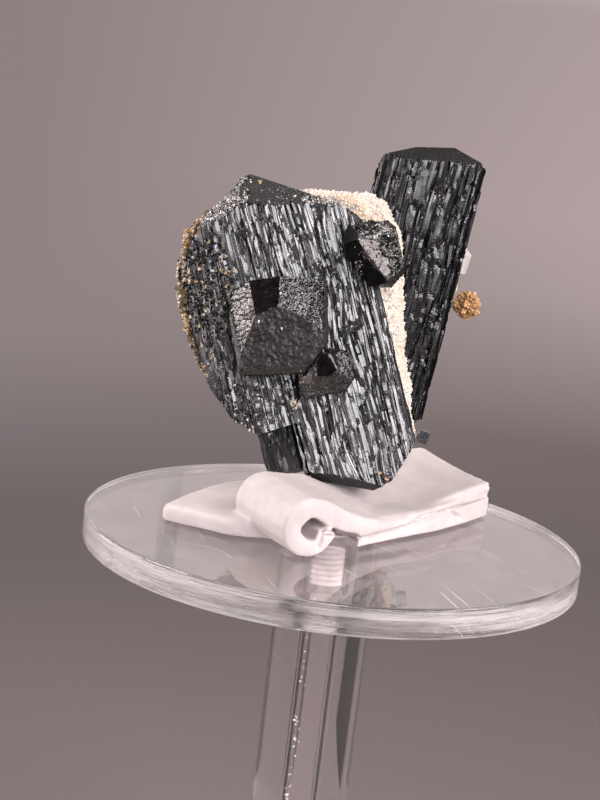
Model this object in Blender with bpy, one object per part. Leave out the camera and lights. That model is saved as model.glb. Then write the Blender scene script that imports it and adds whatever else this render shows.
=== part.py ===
"""Ilvaite specimen on its clear display stand.

A cabinet specimen of black ilvaite crystals on sugary quartz, with dark sphalerite crystals, a
quartz point and a siderite ball. It is set in a folded strip of white putty on a round clear
plate, which a clear screw holds on a clear rod with a round clear foot.

Units are metres and +Z is up. The origin is the centre of the foot's underside, and the
specimen's display side faces -Y. The sizes below are in millimetres times MM.
"""

import math
import random
from dataclasses import dataclass

import bmesh
import bpy
from mathutils import Euler, Matrix, Vector, noise

MM = 0.001
GAP = 0.3

# Stand sizes, in mm
FOOT_RADIUS = 40.0
FOOT_THICKNESS = 5.0
ROD_RADIUS = 9.0
ROD_LENGTH = 70.0
PLATE_RADIUS = 45.0
PLATE_THICKNESS = 5.0
PLATE_TOP = FOOT_THICKNESS + ROD_LENGTH + PLATE_THICKNESS
EDGE_BREAK = 0.4
FLAT_ANGLE = 0.1
SCREW_RADIUS = 3.0
SCREW_PITCH = 1.0
SCREW_LENGTH = 14.0
SCREW_ROOT = 2.45
SCREW_HEAD_RADIUS = 5.5
SCREW_HEAD_DEPTH = 2.6
SCREW_SUNK = 0.1
SCREW_SHANK = 0.4
THREAD_START = 0.3
THREAD_CREST = 0.35
THREAD_VALLEY = 0.7
SLOT_WIDTH = 1.2
SLOT_DEPTH = 1.3
SCREW_HOLE_RADIUS = SCREW_RADIUS + GAP
TAPPED_DEPTH = 10.0
DRILL_POINT = 1.2
BORE_RADIUS = 2.4

# Where the two big crystals stand: the top left corner of each one's front face, over the plate
FRONT_CORNER = (-23.3, 5.0, 54.6)
FRONT_TURN = (-6.6, -20.9, -3.6)
BACK_CORNER = (3.5, 13.5, 66.4)
BACK_TURN = (-1.0, 7.0, 2.0)

# Front crystal, in its own axes: X along the front face, Y into it, Z along the crystal
FRONT_WIDTH = 19.6
FRONT_DEPTH = 11.5
APEX = (2.6, 5.5, 6.4)
APEX_CORNER = (0.3, 3.3, 4.1)
BEHIND_APEX = (8.0, 11.5, -1.5)
TOP_RIGHT = (18.4, 0.0, -3.9)
RIB_RELIEF = 0.5
RIB_WALL = 0.06
REAR_RIBS = 2.0

# Back crystal, in its own axes
BACK_WIDTH = 15.8
BACK_DEPTH = 12.8
BACK_LENGTH = 53.0
BACK_RIDGE = ((2.7, 5.0, 2.7), (10.8, 5.0, 5.0))

# Siderite ball, over the plate
BALL_CENTRE = (21.4, 24.0, 40.5)
BALL_RADIUS = 2.75

# Milky quartz point behind the tall prism: its foot over the plate, and its turn in degrees
POINT_FOOT = (18.2, 27.6, 52.0)
POINT_TURN = (181.0, 8.0, 15.0)
POINT_RADIUS = 3.0
POINT_LENGTH = 17.0

# Chip at the crust's foot: its corners over the plate, and its turn in degrees
CHIP_LOW = (14.3, 10.2, 14.9)
CHIP_HIGH = (16.2, 12.4, 17.2)
CHIP_TURN = 12.0

# Putty, over the plate
ROLL_FRONT = (-4.4, -23.6)
ROLL_BACK = (-13.5, -8.2)
ROLL_MIDDLE = 5.4


@dataclass
class Crystal:
    """A prism along Z, cut to shape by faces given as a point and an outward direction."""

    plan: list
    low: float
    high: float
    faces: list
    rib_width: float = 1.3
    relief: float = RIB_RELIEF
    breaks: int = 4
    seed: int = 1


def frame_of(corner, turn):
    """Matrix in metres that places a shape drawn in mm at a corner over the plate."""
    place = Vector((corner[0], corner[1], corner[2] + PLATE_TOP)) * MM
    spin = Euler([math.radians(angle) for angle in turn], "XYZ").to_matrix().to_4x4()
    return Matrix.Translation(place) @ spin @ Matrix.Scale(MM, 4)


OVER_PLATE = Matrix.Translation((0.0, 0.0, PLATE_TOP * MM)) @ Matrix.Scale(MM, 4)
IN_MM = Matrix.Scale(MM, 4)
FRONT_FRAME = frame_of(FRONT_CORNER, FRONT_TURN)
BACK_FRAME = frame_of(BACK_CORNER, BACK_TURN)


def clear_scene():
    """Remove every object that the file opened with."""
    for old in list(bpy.data.objects):
        bpy.data.objects.remove(old, do_unlink=True)


def material(name, colour, roughness, metallic=0.0, transmission=0.0, ior=1.5):
    """Principled material from a plain colour."""
    made = bpy.data.materials.new(name)
    made.use_nodes = True
    shader = made.node_tree.nodes["Principled BSDF"]
    shader.inputs["Base Color"].default_value = (*colour, 1.0)
    shader.inputs["Roughness"].default_value = roughness
    shader.inputs["Metallic"].default_value = metallic
    shader.inputs["Transmission Weight"].default_value = transmission
    shader.inputs["IOR"].default_value = ior
    return made


def add_object(name, bm, matrix, finish=None):
    """Turn a bmesh drawn in mm into an object in metres, with its faces pointing out."""
    bmesh.ops.transform(bm, matrix=matrix, verts=bm.verts)
    bmesh.ops.recalc_face_normals(bm, faces=bm.faces)
    mesh = bpy.data.meshes.new(name)
    bm.to_mesh(mesh)
    bm.free()
    made = bpy.data.objects.new(name, mesh)
    bpy.context.collection.objects.link(made)
    if finish:
        mesh.materials.append(finish)
    return made


def add_helper(name, bm, matrix):
    """Shape that only cuts or joins another one."""
    made = add_object(name, bm, matrix)
    made.hide_render = True
    made.display_type = "WIRE"
    return made


def boolean(target, helper, operation):
    """Cut a helper from a target, or join it on."""
    step = target.modifiers.new(helper.name, "BOOLEAN")
    step.operation = operation
    step.solver = "EXACT"
    step.object = helper


def round_off(target, angle=35.0):
    """Shade a round piece smooth, with its real corners kept sharp."""
    target.data.shade_smooth()
    target.data.set_sharp_from_angle(angle=math.radians(angle))


def cut_away(bm, point, direction):
    """Remove what lies beyond a plane and close the cut with one flat face."""
    bmesh.ops.triangulate(bm, faces=bm.faces)
    everything = bm.verts[:] + bm.edges[:] + bm.faces[:]
    bmesh.ops.bisect_plane(
        bm, geom=everything, dist=1e-5, plane_co=point, plane_no=direction, clear_outer=True
    )
    rim = [edge for edge in bm.edges if len(edge.link_faces) == 1]
    bmesh.ops.edgeloop_fill(bm, edges=rim)


def merge_flat(bm):
    """Join neighbouring faces that lie in one plane."""
    bmesh.ops.dissolve_limit(
        bm, angle_limit=math.radians(FLAT_ANGLE), verts=bm.verts, edges=bm.edges
    )


def grown_plan(plan, distance):
    """Plan with each side moved out by a distance."""
    count = len(plan)
    lines = []
    for index in range(count):
        start = Vector(plan[index])
        along = (Vector(plan[(index + 1) % count]) - start).normalized()
        lines.append((start + Vector((along.y, -along.x)) * distance, along))
    grown = []
    for index in range(count):
        (p, d), (q, e) = lines[index - 1], lines[index]
        reach = (q - p).cross(e) / d.cross(e)
        grown.append(p + d * reach)
    return grown


def plain_prism(plan, low, high):
    """Closed straight prism."""
    bm = bmesh.new()
    base = bm.faces.new([bm.verts.new((x, y, low)) for x, y in plan])
    raised = bmesh.ops.extrude_face_region(bm, geom=[base])
    top = [part for part in raised["geom"] if isinstance(part, bmesh.types.BMVert)]
    bmesh.ops.translate(bm, vec=(0.0, 0.0, high - low), verts=top)
    return bm


def rib_columns(start, end, form, rng):
    """Columns of points along one side, two to a rib, each rib stepping in at its own heights."""
    along = end - start
    length = along.length
    along.normalize()
    inward = Vector((-along.y, along.x))
    width = form.rib_width if inward.y > 0.0 else form.rib_width * REAR_RIBS
    count = max(1, round(length / width))
    marks = [0.0] + [(i + rng.uniform(-0.3, 0.3)) / count for i in range(1, count)] + [1.0]
    tier = (form.high - form.low) / form.breaks
    columns = []
    for rib in range(count):
        reach = 0.0 if rib in (0, count - 1) else form.relief
        heights = [form.low + tier * (i + rng.uniform(0.15, 0.85)) for i in range(form.breaks)]
        depths = [rng.uniform(0.0, reach) for _ in range(form.breaks + 1)]
        for edge in (marks[rib] * length + RIB_WALL, marks[rib + 1] * length - RIB_WALL):
            foot = start + along * edge
            column = [(*(foot + inward * depths[0]), form.low)]
            for index, height in enumerate(heights):
                for lift, depth in ((-RIB_WALL, depths[index]), (RIB_WALL, depths[index + 1])):
                    point = foot + inward * depth
                    column.append((point.x, point.y, height + lift))
            column.append((*(foot + inward * depths[-1]), form.high))
            columns.append(column)
    return columns


def ribbed_prism(form):
    """Closed prism whose sides step in and out in long ribs, as a striated crystal's do."""
    rng = random.Random(form.seed)
    corners = [Vector(point) for point in form.plan]
    columns = []
    for index, corner in enumerate(corners):
        columns += rib_columns(corner, corners[(index + 1) % len(corners)], form, rng)
    bm = bmesh.new()
    grid = [[bm.verts.new(point) for point in column] for column in columns]
    for index, column in enumerate(grid):
        neighbour = grid[(index + 1) % len(grid)]
        for row in range(len(column) - 1):
            bm.faces.new((column[row], neighbour[row], neighbour[row + 1], column[row + 1]))
    bm.faces.new([column[0] for column in grid])
    bm.faces.new([column[-1] for column in grid])
    return bm


def crystal(form, grow=0.0):
    """Ribbed crystal, or the plain clearance around it when grow is given."""
    if grow:
        bm = plain_prism(grown_plan(form.plan, grow), form.low - grow, form.high + grow)
    else:
        bm = ribbed_prism(form)
    for point, direction in form.faces:
        outward = Vector(direction).normalized()
        cut_away(bm, Vector(point) + outward * grow, outward)
    merge_flat(bm)
    return bm


def outline_faces(outline):
    """Cutting faces along an outline in X and Z that runs clockwise as the viewer sees it."""
    faces = []
    for (x0, z0), (x1, z1) in zip(outline, outline[1:]):
        faces.append(((x0, 0.0, z0), (z0 - z1, 0.0, x1 - x0)))
    return faces


def face_through(a, b, c, up=True):
    """Cutting face through three points that points up, or down."""
    a, b, c = Vector(a), Vector(b), Vector(c)
    direction = (b - a).cross(c - a)
    return (a, direction if (direction.z > 0) == up else -direction)


def turned(profile, segments, closed):
    """Round solid from a profile of radius and height, spun about Z."""
    bm = bmesh.new()
    points = [bm.verts.new((radius, 0.0, height)) for radius, height in profile]
    edges = [bm.edges.new(pair) for pair in zip(points, points[1:])]
    if closed:
        edges.append(bm.edges.new((points[-1], points[0])))
    bmesh.ops.spin(
        bm, geom=points + edges, axis=(0.0, 0.0, 1.0), cent=(0.0, 0.0, 0.0),
        angle=math.tau, steps=segments, use_merge=True,
    )
    bmesh.ops.remove_doubles(bm, verts=bm.verts, dist=1e-4)
    return bm


def box(low, high):
    """Closed box between two corners."""
    bm = bmesh.new()
    bmesh.ops.create_cube(bm, size=1.0)
    size = Vector(high) - Vector(low)
    bmesh.ops.scale(bm, vec=size, verts=bm.verts)
    bmesh.ops.translate(bm, vec=Vector(low) + size / 2, verts=bm.verts)
    return bm


def merge_into(bm, other):
    """Add another bmesh's faces to the first."""
    carrier = bpy.data.meshes.new("carrier")
    other.to_mesh(carrier)
    other.free()
    bm.from_mesh(carrier)
    bpy.data.meshes.remove(carrier)


MAIN = Crystal(
    plan=[(0.0, 0.0), (FRONT_WIDTH, 0.0), (21.0, 1.8), (19.5, 8.5), (13.0, FRONT_DEPTH), (-1.5, 11.0)],
    low=-60.0,
    high=12.0,
    faces=[
        face_through((0.0, 0.0, 0.0), TOP_RIGHT, APEX),
        face_through((0.0, 0.0, 0.0), APEX_CORNER, (-1.2, 4.0, 0.8)),
        face_through(APEX_CORNER, APEX, (-1.6, 5.0, 4.4)),
        face_through(APEX, TOP_RIGHT, BEHIND_APEX),
        face_through(APEX, BEHIND_APEX, (-1.5, 11.0, 1.5)),
        ((18.0, 0.0, -3.6), (0.75, -0.1, 0.6)),
        ((7.7, 2.0, -53.3), (-0.38, 0.22, -0.9)),
        face_through((4.4, 0.0, -49.6), (10.8, 0.0, -52.5), (8.0, 2.0, -53.4), up=False),
        ((12.4, 2.0, -54.4), (0.35, 0.2, -0.9)),
        ((18.4, 0.0, -50.6), (0.7, 0.15, -0.7)),
    ],
    rib_width=1.25,
    breaks=4,
    seed=11,
)

LEFT = Crystal(
    plan=[(-15.3, 7.0), (-10.5, 3.0), (-3.0, 0.7), (1.6, 0.4), (3.0, 9.0), (-6.0, 11.2), (-13.5, 10.0)],
    low=-44.0,
    high=8.0,
    faces=outline_faces([
        (-7.5, -39.7), (-11.2, -36.4), (-14.3, -30.0), (-15.2, -22.0), (-14.9, -15.5),
        (-13.2, -9.0), (-12.3, -5.3), (-8.1, -0.4),
    ]) + [
        face_through((0.0, 0.0, 0.0), APEX, (-8.1, 3.5, -0.4)),
        ((0.0, 0.0, -39.6), (0.05, -0.15, -1.0)),
        face_through(APEX, (-8.0, 11.0, -4.0), (3.0, 11.0, 3.0)),
    ],
    rib_width=1.5,
    relief=0.6,
    breaks=4,
    seed=23,
)

BLOCK = Crystal(
    plan=[(-7.5, 5.5), (-6.4, 3.3), (-0.7, 2.7), (-0.4, 6.0), (3.0, 6.5), (3.0, 10.0), (-6.5, 10.0)],
    low=-56.0,
    high=-34.0,
    faces=[((-5.4, 3.0, -48.2), (0.0, -0.15, -1.0))],
    rib_width=1.6,
    relief=0.35,
    breaks=2,
    seed=32,
)

BACK = Crystal(
    plan=[
        (0.0, 0.0), (BACK_WIDTH, 0.0), (17.2, 1.4), (16.4, 8.5), (12.0, 12.3), (3.0, BACK_DEPTH),
        (-2.3, 9.5), (-2.1, 2.2),
    ],
    low=-BACK_LENGTH - 3.0,
    high=8.0,
    faces=[
        face_through((0.0, 0.0, 0.1), (BACK_WIDTH, 0.0, 2.7), BACK_RIDGE[1]),
        face_through((17.1, 1.4, 2.1), BACK_RIDGE[1], (16.4, 8.5, -1.0)),
        face_through((-1.7, 2.2, 0.8), BACK_RIDGE[0], (-2.3, 9.5, -1.6)),
        face_through(BACK_RIDGE[0], BACK_RIDGE[1], (9.0, 12.8, -1.6)),
        ((8.0, 0.0, -BACK_LENGTH + 3.0), (0.35, 0.3, -0.9)),
        ((4.0, 6.0, -BACK_LENGTH), (-0.2, -0.2, -0.95)),
    ],
    rib_width=1.35,
    relief=0.55,
    breaks=4,
    seed=47,
)


# Gaps and growth pits in the front crystal's face, in its own axes: lowest and highest corner
FRONT_PITS = [
    ((-0.75, -2.0, -52.0), (1.05, 4.6, -37.6)), ((0.9, -2.0, -36.0), (2.7, 3.2, -29.6)),
    ((12.9, -2.0, -42.6), (13.6, 1.0, -39.2)), ((6.2, -2.0, -43.6), (6.8, 0.9, -39.0)),
    ((14.4, -2.0, -30.2), (15.3, 0.9, -26.4)), ((3.2, -2.0, -46.4), (4.0, 0.8, -43.2)),
]


def front_crystal(finish):
    """Main crystal, the crystal grown beside it and the block under that one, as one solid."""
    main = add_object("ilvaite_front", crystal(MAIN), FRONT_FRAME, finish)
    boolean(main, add_helper("join_left", crystal(LEFT), FRONT_FRAME), "UNION")
    boolean(main, add_helper("join_block", crystal(BLOCK), FRONT_FRAME), "UNION")
    pits = box(*FRONT_PITS[0])
    for pit in FRONT_PITS[1:]:
        merge_into(pits, box(*pit))
    boolean(main, add_helper("front_pits", pits, FRONT_FRAME), "DIFFERENCE")
    return main


def back_crystal(finish):
    """Tall prism that leans out behind the front crystals."""
    return add_object("ilvaite_back", crystal(BACK), BACK_FRAME, finish)


def clearance(name, form, frame):
    """Cutter that is the crystal's plain form with the gap around it."""
    return add_helper(name, crystal(form, GAP), frame)


@dataclass
class Block:
    """A box between two corners, cut by facets given as three points each."""

    low: tuple
    high: tuple
    facets: list


def cut_block(form, grow=0.0):
    """Faceted crystal, or the clearance around it when grow is given."""
    spare = Vector((grow, grow, grow))
    low, high = Vector(form.low) - spare, Vector(form.high) + spare
    bm = box(low, high)
    for a, b, c in form.facets:
        a, b, c = Vector(a), Vector(b), Vector(c)
        outward = (b - a).cross(c - a).normalized()
        if outward.dot(a - (low + high) / 2) < 0.0:
            outward.negate()
        cut_away(bm, a + outward * grow, outward)
    merge_flat(bm)
    return bm


# Broad tetrahedral crystal on the front face, in the front crystal's axes
SPHALERITE_LARGE = Block((-8.5, -6.5, -32.5), (14.5, 3.5, -11.5), [
    ((-6.2, -4.6, -28.0), (5.9, -4.6, -29.6), (4.0, -4.9, -18.0)),
    ((-1.2, -4.6, -18.6), (3.7, -4.9, -18.6), (-0.3, -2.2, -13.0)),
    ((3.9, -4.9, -18.0), (7.4, -4.8, -22.0), (10.4, -1.6, -15.0)),
    ((7.4, -4.8, -22.0), (10.9, -4.6, -24.4), (12.6, -1.2, -15.8)),
    ((-1.2, -4.6, -18.6), (-5.5, -4.5, -24.9), (-5.0, 0.0, -13.7)),
    ((-5.3, -0.3, -13.9), (-5.9, -2.6, -21.8), (-6.5, -4.4, -28.4)),
    ((-5.2, 0.0, -13.5), (-0.3, -2.2, -12.9), (12.6, -1.2, -15.7)),
    ((12.5, 0.0, -15.8), (12.4, -1.2, -15.9), (9.8, -2.6, -27.2)),
    ((-6.2, -4.6, -28.0), (5.9, -4.6, -29.8), (1.6, -3.6, -30.4)),
    ((-6.5, -3.0, -29.0), (1.6, -3.4, -30.6), (1.6, 0.0, -30.9)),
    ((6.4, -4.2, -30.0), (9.8, -2.6, -27.2), (9.8, 0.0, -27.2)),
])

# Stubby crystal against the large one's lower right corner
SPHALERITE_SMALL = Block((1.5, -6.5, -38.0), (14.5, 3.0, -26.5), [
    ((5.8, -4.6, -32.8), (10.8, -4.8, -32.1), (7.4, -4.8, -28.9)),
    ((10.8, -4.8, -32.1), (10.7, -4.4, -30.4), (13.1, -1.8, -31.5)),
    ((5.8, -4.6, -33.0), (5.5, -4.2, -30.4), (3.0, -1.0, -32.5)),
    ((5.8, -4.5, -33.4), (10.8, -4.8, -32.4), (7.7, -2.5, -35.8)),
    ((13.3, -1.8, -31.5), (13.3, -2.0, -34.0), (13.2, 0.0, -33.0)),
    ((2.9, -1.5, -35.9), (7.7, -2.5, -36.0), (7.7, 0.0, -36.3)),
    ((12.0, -2.5, -35.3), (13.3, -2.0, -34.0), (12.5, 0.0, -34.9)),
    ((2.6, -1.0, -34.6), (3.3, -1.0, -30.6), (3.0, 0.0, -32.5)),
    ((3.3, -1.0, -30.4), (7.4, -4.0, -28.8), (5.4, 0.0, -29.5)),
    ((10.3, -1.0, -28.0), (12.6, -0.5, -28.7), (11.5, -3.0, -28.9)),
])

# Crystal at the front crystal's upper right edge, its largest face turned to the right
SPHALERITE_DRUSY = Block((15.5, -7.0, -21.0), (28.0, 3.5, -6.5), [
    ((19.6, -5.4, -10.2), (22.6, -5.2, -18.4), (25.6, -1.8, -14.0)),
    ((19.4, -5.3, -11.4), (22.6, -5.2, -18.4), (16.6, -0.8, -12.5)),
    ((21.3, -5.3, -16.4), (22.6, -5.2, -18.4), (17.0, -0.8, -17.7)),
    ((16.8, -1.0, -10.0), (16.2, -1.0, -15.0), (16.6, 3.0, -13.0)),
    ((17.2, 0.0, -18.4), (22.6, -4.6, -19.4), (23.0, 2.0, -20.0)),
    ((22.8, -4.8, -19.2), (25.6, -1.0, -17.8), (24.5, 3.0, -19.0)),
    ((26.4, 0.0, -11.0), (26.3, -1.5, -15.0), (26.2, -0.5, -17.0)),
    ((20.4, -3.0, -8.1), (24.6, -2.2, -8.6), (21.0, 0.0, -7.8)),
    ((19.6, -5.2, -10.0), (17.0, -0.8, -9.2), (19.2, -3.0, -8.6)),
    ((24.8, -2.2, -8.8), (26.0, -1.4, -10.5), (25.5, 0.0, -9.3)),
])


# Outline of the quartz crust seen from the front, over the plate, clockwise from the top left
DRUSE_OUTLINE = [
    (-29.0, 54.8), (-20.0, 57.2), (-13.0, 59.6), (-5.0, 60.4), (2.4, 60.7), (4.4, 57.2), (6.2, 54.6),
    (7.9, 48.6), (8.9, 43.2), (9.6, 37.6), (10.6, 32.1), (11.6, 26.6), (12.6, 22.8), (13.5, 19.2),
    (14.6, 15.4), (12.6, 11.8), (4.0, 11.5), (-8.0, 12.5), (-18.0, 15.5), (-27.6, 21.6),
    (-32.4, 29.0), (-34.2, 37.0), (-35.1, 44.8), (-33.6, 50.0),
]
DRUSE_MIDDLE = (-9.0, 36.0)
DRUSE_DEPTH = 13.5
DRUSE_HALF_DEPTH = 7.0
DRUSE_THIN_FRONT = 2.5
DRUSE_THIN_FROM = -12.0
DRUSE_THIN_TO = -27.0
DRUSE_SEGMENTS = 52
DRUSE_ROWS = 12

# Quartz points on the back of the crust: x and z over the plate, radius, length, tilt and turn
DRUSE_POINTS = [
    (-24.0, 46.0, 2.0, 8.0, 25.0, 160.0), (-19.0, 38.0, 2.6, 10.0, 15.0, 230.0),
    (-27.0, 36.0, 1.8, 7.0, 30.0, 200.0), (-13.0, 47.0, 2.3, 9.0, 20.0, 80.0),
    (-20.0, 27.0, 2.2, 8.5, 28.0, 250.0), (-11.0, 30.0, 1.9, 8.0, 18.0, 300.0),
    (-6.5, 52.0, 1.7, 7.0, 24.0, 60.0), (-13.5, 19.5, 1.8, 7.5, 30.0, 270.0),
    (-17.5, 53.5, 1.5, 6.0, 22.0, 110.0),
]


def outline_reach(angle):
    """Distance from the crust's middle to its outline along one direction."""
    middle = Vector(DRUSE_MIDDLE)
    ray = Vector((math.cos(angle), math.sin(angle)))
    best = 0.0
    count = len(DRUSE_OUTLINE)
    for index in range(count):
        a = Vector(DRUSE_OUTLINE[index]) - middle
        b = Vector(DRUSE_OUTLINE[(index + 1) % count]) - middle
        side = b - a
        across = ray.cross(side)
        if abs(across) < 1e-9:
            continue
        reach = a.cross(side) / across
        share = a.cross(ray) / across
        if reach > 0 and -1e-6 <= share <= 1.0 + 1e-6:
            best = max(best, reach)
    return best


def druse_body():
    """Lumpy cushion of quartz with the crust's outline."""
    bm = bmesh.new()
    bmesh.ops.create_uvsphere(bm, u_segments=DRUSE_SEGMENTS, v_segments=DRUSE_ROWS, radius=1.0)
    for vert in bm.verts:
        angle = math.atan2(vert.co.y, vert.co.x)
        flat = math.hypot(vert.co.x, vert.co.y)
        reach = outline_reach(angle) * flat ** 0.42
        x = DRUSE_MIDDLE[0] + math.cos(angle) * reach
        z = DRUSE_MIDDLE[1] + math.sin(angle) * reach
        front, back = DRUSE_HALF_DEPTH, DRUSE_HALF_DEPTH
        thinned = (DRUSE_THIN_FROM - x) / (DRUSE_THIN_FROM - DRUSE_THIN_TO)
        front += (DRUSE_THIN_FRONT - front) * min(1.0, max(0.0, thinned))
        depth = abs(vert.co.z) ** 0.6 * (front if vert.co.z > 0.0 else -back)
        place = Vector((x, DRUSE_DEPTH - depth, z))
        lump = noise.noise(place * 0.21) * 0.9 + noise.noise(place * 0.55) * 0.45
        outward = Vector((math.cos(angle) * flat, -vert.co.z, math.sin(angle) * flat)).normalized()
        vert.co = place + outward * (lump - 0.45)
    return bm


def quartz_crystal(radius, length, slant=1.15):
    """Six-sided prism along Z with a six-faced point."""
    bm = bmesh.new()
    bmesh.ops.create_circle(bm, cap_ends=True, radius=radius, segments=6)
    sides = bmesh.ops.extrude_face_region(bm, geom=bm.faces[:])
    ring = [part for part in sides["geom"] if isinstance(part, bmesh.types.BMVert)]
    shoulder = length - radius * slant * 1.25
    bmesh.ops.translate(bm, vec=(0.0, 0.0, shoulder), verts=ring)
    top = [face for face in bm.faces if all(vert in ring for vert in face.verts)]
    point = bmesh.ops.extrude_face_region(bm, geom=top)
    tip = [part for part in point["geom"] if isinstance(part, bmesh.types.BMVert)]
    bmesh.ops.delete(bm, geom=top, context="FACES_ONLY")
    bmesh.ops.translate(bm, vec=(0.0, 0.0, length - shoulder), verts=tip)
    bmesh.ops.pointmerge(bm, verts=tip, merge_co=(radius * 0.2, 0.0, length))
    return bm


def quartz_druse(finish):
    """Crust that the crystals grow from, with points on its back."""
    druse = add_object("quartz_druse", druse_body(), OVER_PLATE, finish)
    for index, (x, z, radius, length, tilt, turn) in enumerate(DRUSE_POINTS):
        grown = quartz_crystal(radius, length)
        lean = Euler((math.radians(-90.0), 0.0, 0.0)).to_matrix().to_4x4()
        away = Matrix.Rotation(math.radians(tilt), 4, Vector((math.sin(math.radians(turn)), 0.0,
                                                               math.cos(math.radians(turn)))))
        seat = Matrix.Translation((x, DRUSE_DEPTH + 2.0, z))
        bmesh.ops.transform(grown, matrix=seat @ away @ lean, verts=grown.verts)
        boolean(druse, add_helper(f"druse_point_{index + 1}", grown, OVER_PLATE), "UNION")
    return druse


def quartz_point(finish):
    """Milky quartz crystal behind the tall prism, its point down and to the left."""
    bm = quartz_crystal(POINT_RADIUS, POINT_LENGTH)
    spin = Euler([math.radians(angle) for angle in POINT_TURN]).to_matrix().to_4x4()
    place = Matrix.Translation(POINT_FOOT) @ spin
    bmesh.ops.transform(bm, matrix=place, verts=bm.verts)
    return add_object("quartz_point", bm, OVER_PLATE, finish)


def siderite_ball(finish):
    """Small ball of botryoidal siderite."""
    bm = bmesh.new()
    bmesh.ops.create_icosphere(bm, subdivisions=3, radius=1.0)
    for vert in bm.verts:
        cell = noise.voronoi(vert.co * 1.9)[0]
        vert.co = vert.co * (BALL_RADIUS * (1.03 - 0.22 * cell[0]))
    bmesh.ops.translate(bm, vec=BALL_CENTRE, verts=bm.verts)
    ball = add_object("siderite_ball", bm, OVER_PLATE, finish)
    round_off(ball, 50.0)
    return ball


def ilvaite_chip(finish):
    """Tiny black crystal at the crust's lower right edge."""
    bm = box(CHIP_LOW, CHIP_HIGH)
    bmesh.ops.rotate(bm, cent=(Vector(CHIP_LOW) + Vector(CHIP_HIGH)) / 2, verts=bm.verts,
                     matrix=Matrix.Rotation(math.radians(CHIP_TURN), 3, "Y"))
    return add_object("ilvaite_chip", bm, OVER_PLATE, finish)


# The roll's section seen from the front, about its middle: outer X and Z, then inner X and Z, from
# the inner end round to the top
ROLL_SECTION = [
    (5.3, -1.2, 4.4, -0.8), (4.7, -2.4, 1.8, -0.5), (3.9, -3.5, 1.6, -1.5), (2.7, -4.5, 1.3, -2.3),
    (1.3, -5.0, 0.8, -2.3), (0.0, -5.1, 0.1, -2.1), (-1.8, -4.8, -0.7, -1.7), (-3.6, -3.7, -1.3, -1.1),
    (-4.8, -2.0, -1.6, -0.6), (-5.2, 0.0, -1.7, -0.1), (-4.8, 2.0, -1.2, 0.5), (-3.7, 3.7, -0.6, 1.1),
    (-2.0, 4.8, 0.0, 1.5), (0.0, 5.2, 0.8, 1.5),
]


def strip_path():
    """Rows across the strip from the roll's inner end round to its top.

    Each row is the front and back end of the outer surface, then of the inner one.
    """
    front, back = Vector((*ROLL_FRONT, ROLL_MIDDLE)), Vector((*ROLL_BACK, ROLL_MIDDLE))
    across = (back - front).normalized()
    along = Vector((across.y, -across.x, 0.0))
    rows = []
    for outer_x, outer_z, inner_x, inner_z in ROLL_SECTION:
        outer = along * outer_x + Vector((0.0, 0.0, outer_z))
        inner = along * inner_x + Vector((0.0, 0.0, inner_z))
        rows.append([end + reach for reach in (outer, inner) for end in (front, back)])
    return rows


# Top edge of the strip past the roll: front point, back point and thickness at the front
STRIP_ROWS = [
    ((-1.6, -20.8, 9.6), (-9.6, -3.6, 9.6), 4.3),
    ((1.4, -17.0, 7.4), (-5.6, 0.6, 9.0), 4.0),
    ((4.8, -13.6, 5.6), (-1.8, 4.8, 8.6), 3.2),
    ((8.6, -10.2, 4.5), (1.6, 9.2, 8.5), 2.3),
    ((12.2, -6.0, 4.2), (4.8, 13.6, 8.7), 2.0),
    ((16.4, 1.4, 4.8), (8.4, 18.6, 9.4), 2.0),
    ((20.8, 8.4, 5.6), (11.8, 23.4, 10.0), 2.2),
    ((25.8, 14.8, 6.4), (15.0, 27.6, 10.5), 2.4),
    ((30.2, 19.4, 7.1), (17.4, 30.2, 10.3), 2.6),
]
STRIP_COLUMNS = 6
STRIP_SAG = 1.2

# Folded layers that lie on the plate: outline in X and Y, thickness and rounding of the top edge
LOWER_LAYER = [
    (4.2, -14.6), (12.0, -5.6), (18.9, 2.0), (25.8, 11.2), (30.4, 18.6), (29.4, 20.4),
    (18.2, 30.8), (8.0, 22.0), (0.0, 10.0), (-2.4, 1.0),
]
LOWER_THICKNESS = 4.6
LOWER_ROUNDING = 1.0
TAIL = [
    (-29.8, -11.6), (-17.6, -16.9), (-9.5, -15.5), (-8.5, 2.0), (-11.5, 12.0), (-17.3, 14.4),
    (-21.0, 11.0), (-24.6, 4.9), (-30.4, -9.6),
]
TAIL_THICKNESS = 3.0
TAIL_ROUNDING = 1.2


def putty_section(top_front, top_back, under_front, under_back, sag):
    """One closed ring of points around the strip, its edges rounded."""
    ring = []
    for column in range(STRIP_COLUMNS + 1):
        share = column / STRIP_COLUMNS
        crown = math.sin(math.pi * share)
        ring.append(top_front.lerp(top_back, share) + Vector((0.0, 0.0, -sag * crown)))
    ring.append(top_back.lerp(under_back, 0.5) + (top_back - top_front).normalized() * 0.5)
    for column in range(STRIP_COLUMNS, -1, -1):
        ring.append(under_front.lerp(under_back, column / STRIP_COLUMNS))
    ring.append(top_front.lerp(under_front, 0.5) - (top_back - top_front).normalized() * 0.4)
    return ring


def loft(rings):
    """Closed solid through rings of points, with flat ends."""
    bm = bmesh.new()
    grid = [[bm.verts.new(point) for point in ring] for ring in rings]
    for ring, following in zip(grid, grid[1:]):
        for index in range(len(ring)):
            after = (index + 1) % len(ring)
            bm.faces.new((ring[index], ring[after], following[after], following[index]))
    bm.faces.new(grid[0])
    bm.faces.new(grid[-1])
    return bm


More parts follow.
